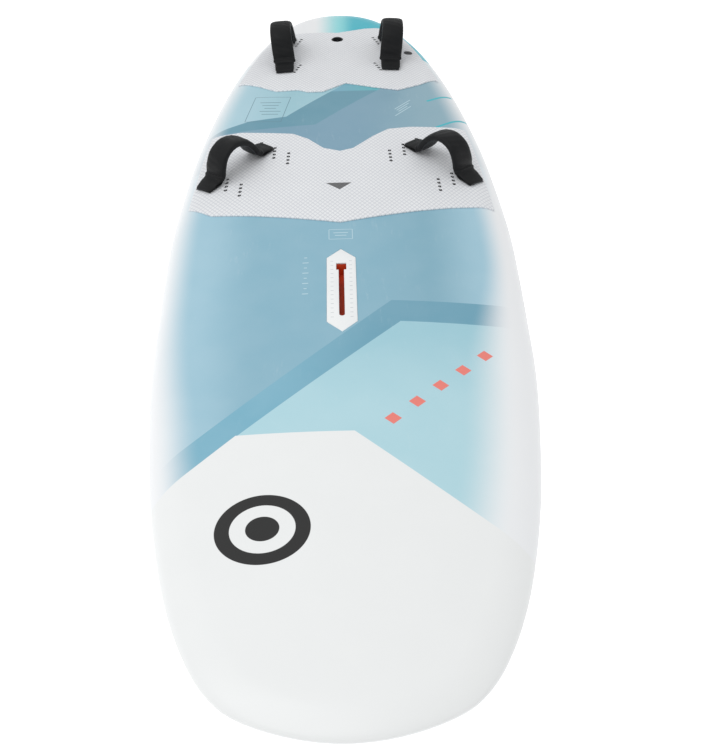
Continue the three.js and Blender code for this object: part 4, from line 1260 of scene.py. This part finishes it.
def cover_sections(distance):
    """Across and outward for each step: a rounded bar |x/w|^3 + |y/h|^3 = 1, with the panel on
    its top, a groove and a rim at the cuff, and wrinkles that die out at the flaps."""
    from_tip = np.minimum(distance, distance[-1] - distance)[:, None]
    width = np.interp(from_tip, *np.array(FLAT_WIDTH).T)
    thickness = np.interp(from_tip, *np.array(FLAT_THICKNESS).T)
    rim = 0.0012 * np.exp(-((from_tip - 0.044) / 0.0022) ** 2)
    angle = np.linspace(0, 2 * np.pi, SECTION_STEPS + 1)
    c, s = np.cos(angle), np.sin(angle)
    across = (width + rim) * np.sign(c) * np.abs(c) ** (2 / 3)
    padded = np.clip((from_tip - 0.04) / 0.02, 0, 1)
    wave = np.sin(distance[:, None] * 330 + 2.5 * c) * np.sin(distance[:, None] * 140 + 3 * c)
    body = thickness + rim + 0.0004 * padded * wave
    outward = body * np.sign(s) * np.abs(s) ** (2 / 3)
    outward = outward + (s > 0) * padded * top_panel(across, width)
    return across, -outward


def section_map(distance, across, outward):
    """A map for the cloth: arc length along, and the way round from the top's middle."""
    step = np.hypot(np.diff(across, axis=1), np.diff(outward, axis=1))
    way = np.concatenate([np.zeros((len(across), 1)), np.cumsum(step, axis=1)], axis=1)
    top = way[:, SECTION_STEPS // 4][:, None]
    round_about = way - top
    return np.stack([np.broadcast_to(distance[:, None], way.shape), round_about], axis=-1)


def cap_map(grid):
    """A map for a fan: the row's own map and its middle."""
    return np.stack([grid, np.broadcast_to(grid.mean(axis=0), grid.shape)])


def bar_object(name, place, path, distance, across, outward):
    """A swept bar with capped ends and its cloth map."""
    points = swept(place, path, across, outward)
    flat = section_map(distance, across, outward)
    return new_object(name, mesh_of(name, capped(points), [flat, cap_map(flat[0]), cap_map(flat[-1])]))


STITCH = np.array([(-1, -1, 0), (1, -1, 0), (1, 1, 0), (-1, 1, 0), (-0.8, 0, 1), (0.8, 0, 1)])
STITCH_FACES = np.array([(0, 3, 2, 1), (0, 1, 5, 4), (2, 3, 4, 5), (1, 2, 5, 5), (3, 0, 4, 4)])


def stitches(name, place, path, distance, across, outward, body_share):
    """Two rows of small ridged prisms on the cover's top, set along the path."""
    pitch, size = 0.0042, np.array([0.0013, 0.0004, 0.0005])
    marks = np.arange(0.05, distance[-1] - 0.05, pitch)
    corners = []
    outer = swept(place, path, across, outward)
    core = swept(place, path, across, outward * 0)
    for side in (-1, 1):
        column = int(np.argmin(np.abs(across[len(across) // 2] - side * body_share)
                               + 9 * (outward[len(across) // 2] > 0)))
        line = outer[:, column]
        inner = core[:, column]
        centre = np.column_stack([np.interp(marks, distance, line[:, k]) for k in range(3)])
        under = np.column_stack([np.interp(marks, distance, inner[:, k]) for k in range(3)])
        ahead = np.gradient(centre, axis=0)
        ahead /= np.linalg.norm(ahead, axis=1)[:, None]
        up = centre - under
        up -= (up * ahead).sum(axis=1)[:, None] * ahead
        up /= np.linalg.norm(up, axis=1)[:, None]
        local = STITCH * size
        corners.append(centre[:, None] + local[None, :, :1] * ahead[:, None]
                       + local[None, :, 1:2] * np.cross(up, ahead)[:, None]
                       + local[None, :, 2:] * up[:, None])
    points = np.concatenate(corners).reshape(-1, 3)
    faces = [tuple(dict.fromkeys(len(STITCH) * i + face)) for i in range(len(points) // len(STITCH))
             for face in STITCH_FACES]
    mesh = bpy.data.meshes.new(name)
    mesh.from_pydata(points.tolist(), [], faces)
    mesh.validate()
    return new_object(name, mesh)


# %% The four straps
def footstrap(row, side):
    """The webbing, the cover and the stitches of one strap."""
    place = StrapPlace(row, side)
    path, distance = curve_through(webbing_path(place.half, place.rise), PATH_STEPS)
    angle = np.linspace(0, 2 * np.pi, SECTION_STEPS + 1)
    c, s = np.cos(angle), np.sin(angle)
    one = np.ones((PATH_STEPS, 1))
    across = one * WEB_HALF_WIDTH * np.sign(c) * np.abs(c) ** 0.25
    outward = one * -WEB_HALF_THICKNESS * np.sign(s) * np.abs(s) ** 0.5
    name = f"{row}_{side}"
    webbing = bar_object(f"{name}_webbing", place, path, distance, across, outward)
    fit(webbing, WEBBING_CLOTH, "hull", "webbing", f"{row}_strap_webbing_{side}", sharp_angle=50)
    path, distance = curve_through(cover_path(place.half, place.rise), PATH_STEPS)
    across, outward = cover_sections(distance)
    cover = bar_object(f"{name}_cover", place, path, distance, across, outward)
    fit(cover, NEOPRENE, "hull", "strap_fabric", f"{row}_strap_cover_{side}", sharp_angle=60)
    sewn = stitches(f"{name}_stitches", place, path, distance, across, outward, 0.0205)
    fit(sewn, THREAD, "hull", "strap_fabric", sharp_angle=70)


for strap_row in ("front", "rear"):
    for strap_side in ("port", "starboard"):
        footstrap(strap_row, strap_side)

# %% [markdown]
# ## Mast track, fin and fittings
#
# These are moulded and machined parts. Most keep the shape of their CAD node, merged into one
# skin with its edges eased, because that shape is already exact. The fin is worked out afresh
# as a foil: a symmetric section whose chord follows the depth, with a rounded tip.

# %% Moulded and machined pieces
EASED = [
    ("mast_track_plate_piece", "mast_track_plate", TRACK_WHITE, "hull", "track_plate_white", 0.0009),
    ("mast_track_box_piece", "mast_track_box", TRACK_ORANGE, "hull", "track_orange", 0.0006),
    ("fin_box_piece", "fin_box", BLACK_NYLON, "hull", "black_plastic", 0.0006),
    ("fin_bolt_sleeve_piece", "fin_bolt_sleeve", BLACK_NYLON, "hull", "black_plastic", 0.0005),
    ("fin_base_piece", "fin_base", FIN_RESIN, "fin", "fin_resin", 0.0006),
    ("fin_barrel_nut_piece", "fin_barrel_nut", BRASS, "fin", "brass_nut", 0.0003),
    ("fin_bolt_washer_piece", "fin_bolt_washer", STAINLESS, "fin_washer", "stainless", 0.0002),
    ("fin_bolt_piece", "fin_bolt", STAINLESS, "fin_screw", "stainless", 0.0003),
    ("vent_bushing_piece", "vent_bushing", BLACK_NYLON, "hull", "black_plastic", 0.0004),
    ("vent_seal_piece", "vent_o_ring", RUBBER, "vent_plug", "rubber_seal", 0.0),
    ("vent_screw_piece", "vent_screw", BLACK_NYLON, "vent_plug", "black_plastic", 0.0003),
]


def dress(node, material):
    """Gives a CAD node a finer material."""
    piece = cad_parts[node]
    piece.data.materials.clear()
    piece.data.materials.append(material)


for name, node, material, body, slot, bevel in EASED:
    fit(refined(name, node, bevel), material, body, slot, node)
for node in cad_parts:
    if "insert" in node:
        dress(node, INSERT_NYLON)
    if "strap_screw" in node:
        dress(node, STAINLESS)
dress("foam_core", RAW_FOAM)
print(len(EASED), "fittings,", len(INSERTS), "inserts")


# %% Fin blade
FIN_CENTRE_T, FIN_ROOT_Z, FIN_DEPTH = 0.255, -0.0033, 0.42
ROOT_CHORD, TIP_CHORD, RAKE, FOIL = 0.118, 0.046, 0.092, 0.09
TONGUE_LENGTH, TONGUE_WIDTH, TONGUE_HEIGHT = 0.09, 0.007, 0.012


def foil_half(s):
    """Half thickness of a symmetric section of unit chord, at share s from the leading edge."""
    poly = 0.2969 * np.sqrt(s) - 0.126 * s - 0.3516 * s**2 + 0.2843 * s**3 - 0.1036 * s**4
    return 5 * FOIL * poly


def fin_blade():
    """Sections from root to tip; the chord tapers and closes in as sqrt(1 - 0.72 d^6), the
    leading edge sweeps back as d^1.5."""
    share = np.linspace(0, 1, 90)[:, None] ** 0.8
    straight = ROOT_CHORD + (TIP_CHORD - ROOT_CHORD) * share
    chord = straight * np.sqrt(1 - 0.72 * share**6)
    lead = TAIL_Y - FIN_CENTRE_T - ROOT_CHORD / 2 + RAKE * share**1.5 + (straight - chord) * 0.6
    turn = np.linspace(0, 2 * np.pi, 97)
    s = (1 + np.cos(turn)) / 2
    side = np.where(turn <= np.pi, 1.0, -1.0)
    x = side * foil_half(s) * chord
    x[:, [0, -1]] = 0
    y = lead + s * chord
    z = np.broadcast_to(FIN_ROOT_Z - FIN_DEPTH * share, x.shape)
    grids = capped(np.stack([x, y, z], axis=-1))
    blade = new_object("blade", mesh_of("blade", grids))
    tongue = prism(rectangle(TONGUE_WIDTH, TONGUE_LENGTH), FIN_ROOT_Z - 0.002,
                   FIN_ROOT_Z + TONGUE_HEIGHT, standing(0, TAIL_Y - FIN_CENTRE_T))
    root = new_object("tongue", mesh_of("tongue", tongue))
    for piece in (blade, root):
        fit(piece, LAMINATE, "fin", "fin_laminate", "fin_blade")


fin_blade()

# %% [markdown]
# ## Floor and light
#
# The board floats just over a plain pale floor that runs out of sight, under one large soft
# light and an even white sky. The floor glows a little, so that it stays paler than the
# deck's white; both belong to the studio, not to the board.

# %% Floor, light and sky
FLOOR_SIZE, FLOOR_BELOW = 30.0, 0.006
SKY_STRENGTH, LAMP_WATTS, LAMP_SIZE = 0.72, 42.0, 3.0
LAMP_PLACE, FLOOR_GLOW = (-1.2, -0.6, 3.2), 0.6


def floor_material():
    """Matt pale floor with a faint mottle and a glow."""
    material, tree, shader = new_material("floor")
    cloud = noise(tree, object_place(tree), 3.0)
    tint = mix(tree, cloud, colour("dcdcdc"), colour("e2e2e2"))
    wire(tree, shader, Base_Color=tint, Roughness=0.9, Emission_Color=(1, 1, 1, 1),
         Emission_Strength=FLOOR_GLOW)
    return material


def studio():
    """The floor, a large lamp up and to starboard of the nose, and the sky."""
    half = FLOOR_SIZE / 2
    z = CAD_BOX[0].z - FLOOR_BELOW
    corners = [(-half, -half, z), (half, -half, z), (half, half, z), (-half, half, z)]
    mesh = bpy.data.meshes.new("floor")
    mesh.from_pydata(corners, [], [(0, 1, 2, 3)])
    ground = new_object("floor", mesh)
    ground.data.materials.append(floor_material())
    data = bpy.data.lights.new("lamp", "AREA")
    data.shape, data.size, data.energy = "SQUARE", LAMP_SIZE, LAMP_WATTS
    lamp = new_object("lamp", data)
    lamp.location = LAMP_PLACE
    aim = Vector((0, 0, 0)) - lamp.location
    lamp.rotation_euler = aim.to_track_quat("-Z", "Y").to_euler()
    world = bpy.data.worlds.new("sky")
    world.use_nodes = True
    sky = world.node_tree.nodes["Background"]
    sky.inputs[0].default_value = (1, 1, 1, 1)
    sky.inputs[1].default_value = SKY_STRENGTH
    scene = bpy.context.scene
    scene.world = world
    scene.view_settings.view_transform = "Standard"


studio()
print("studio ready")
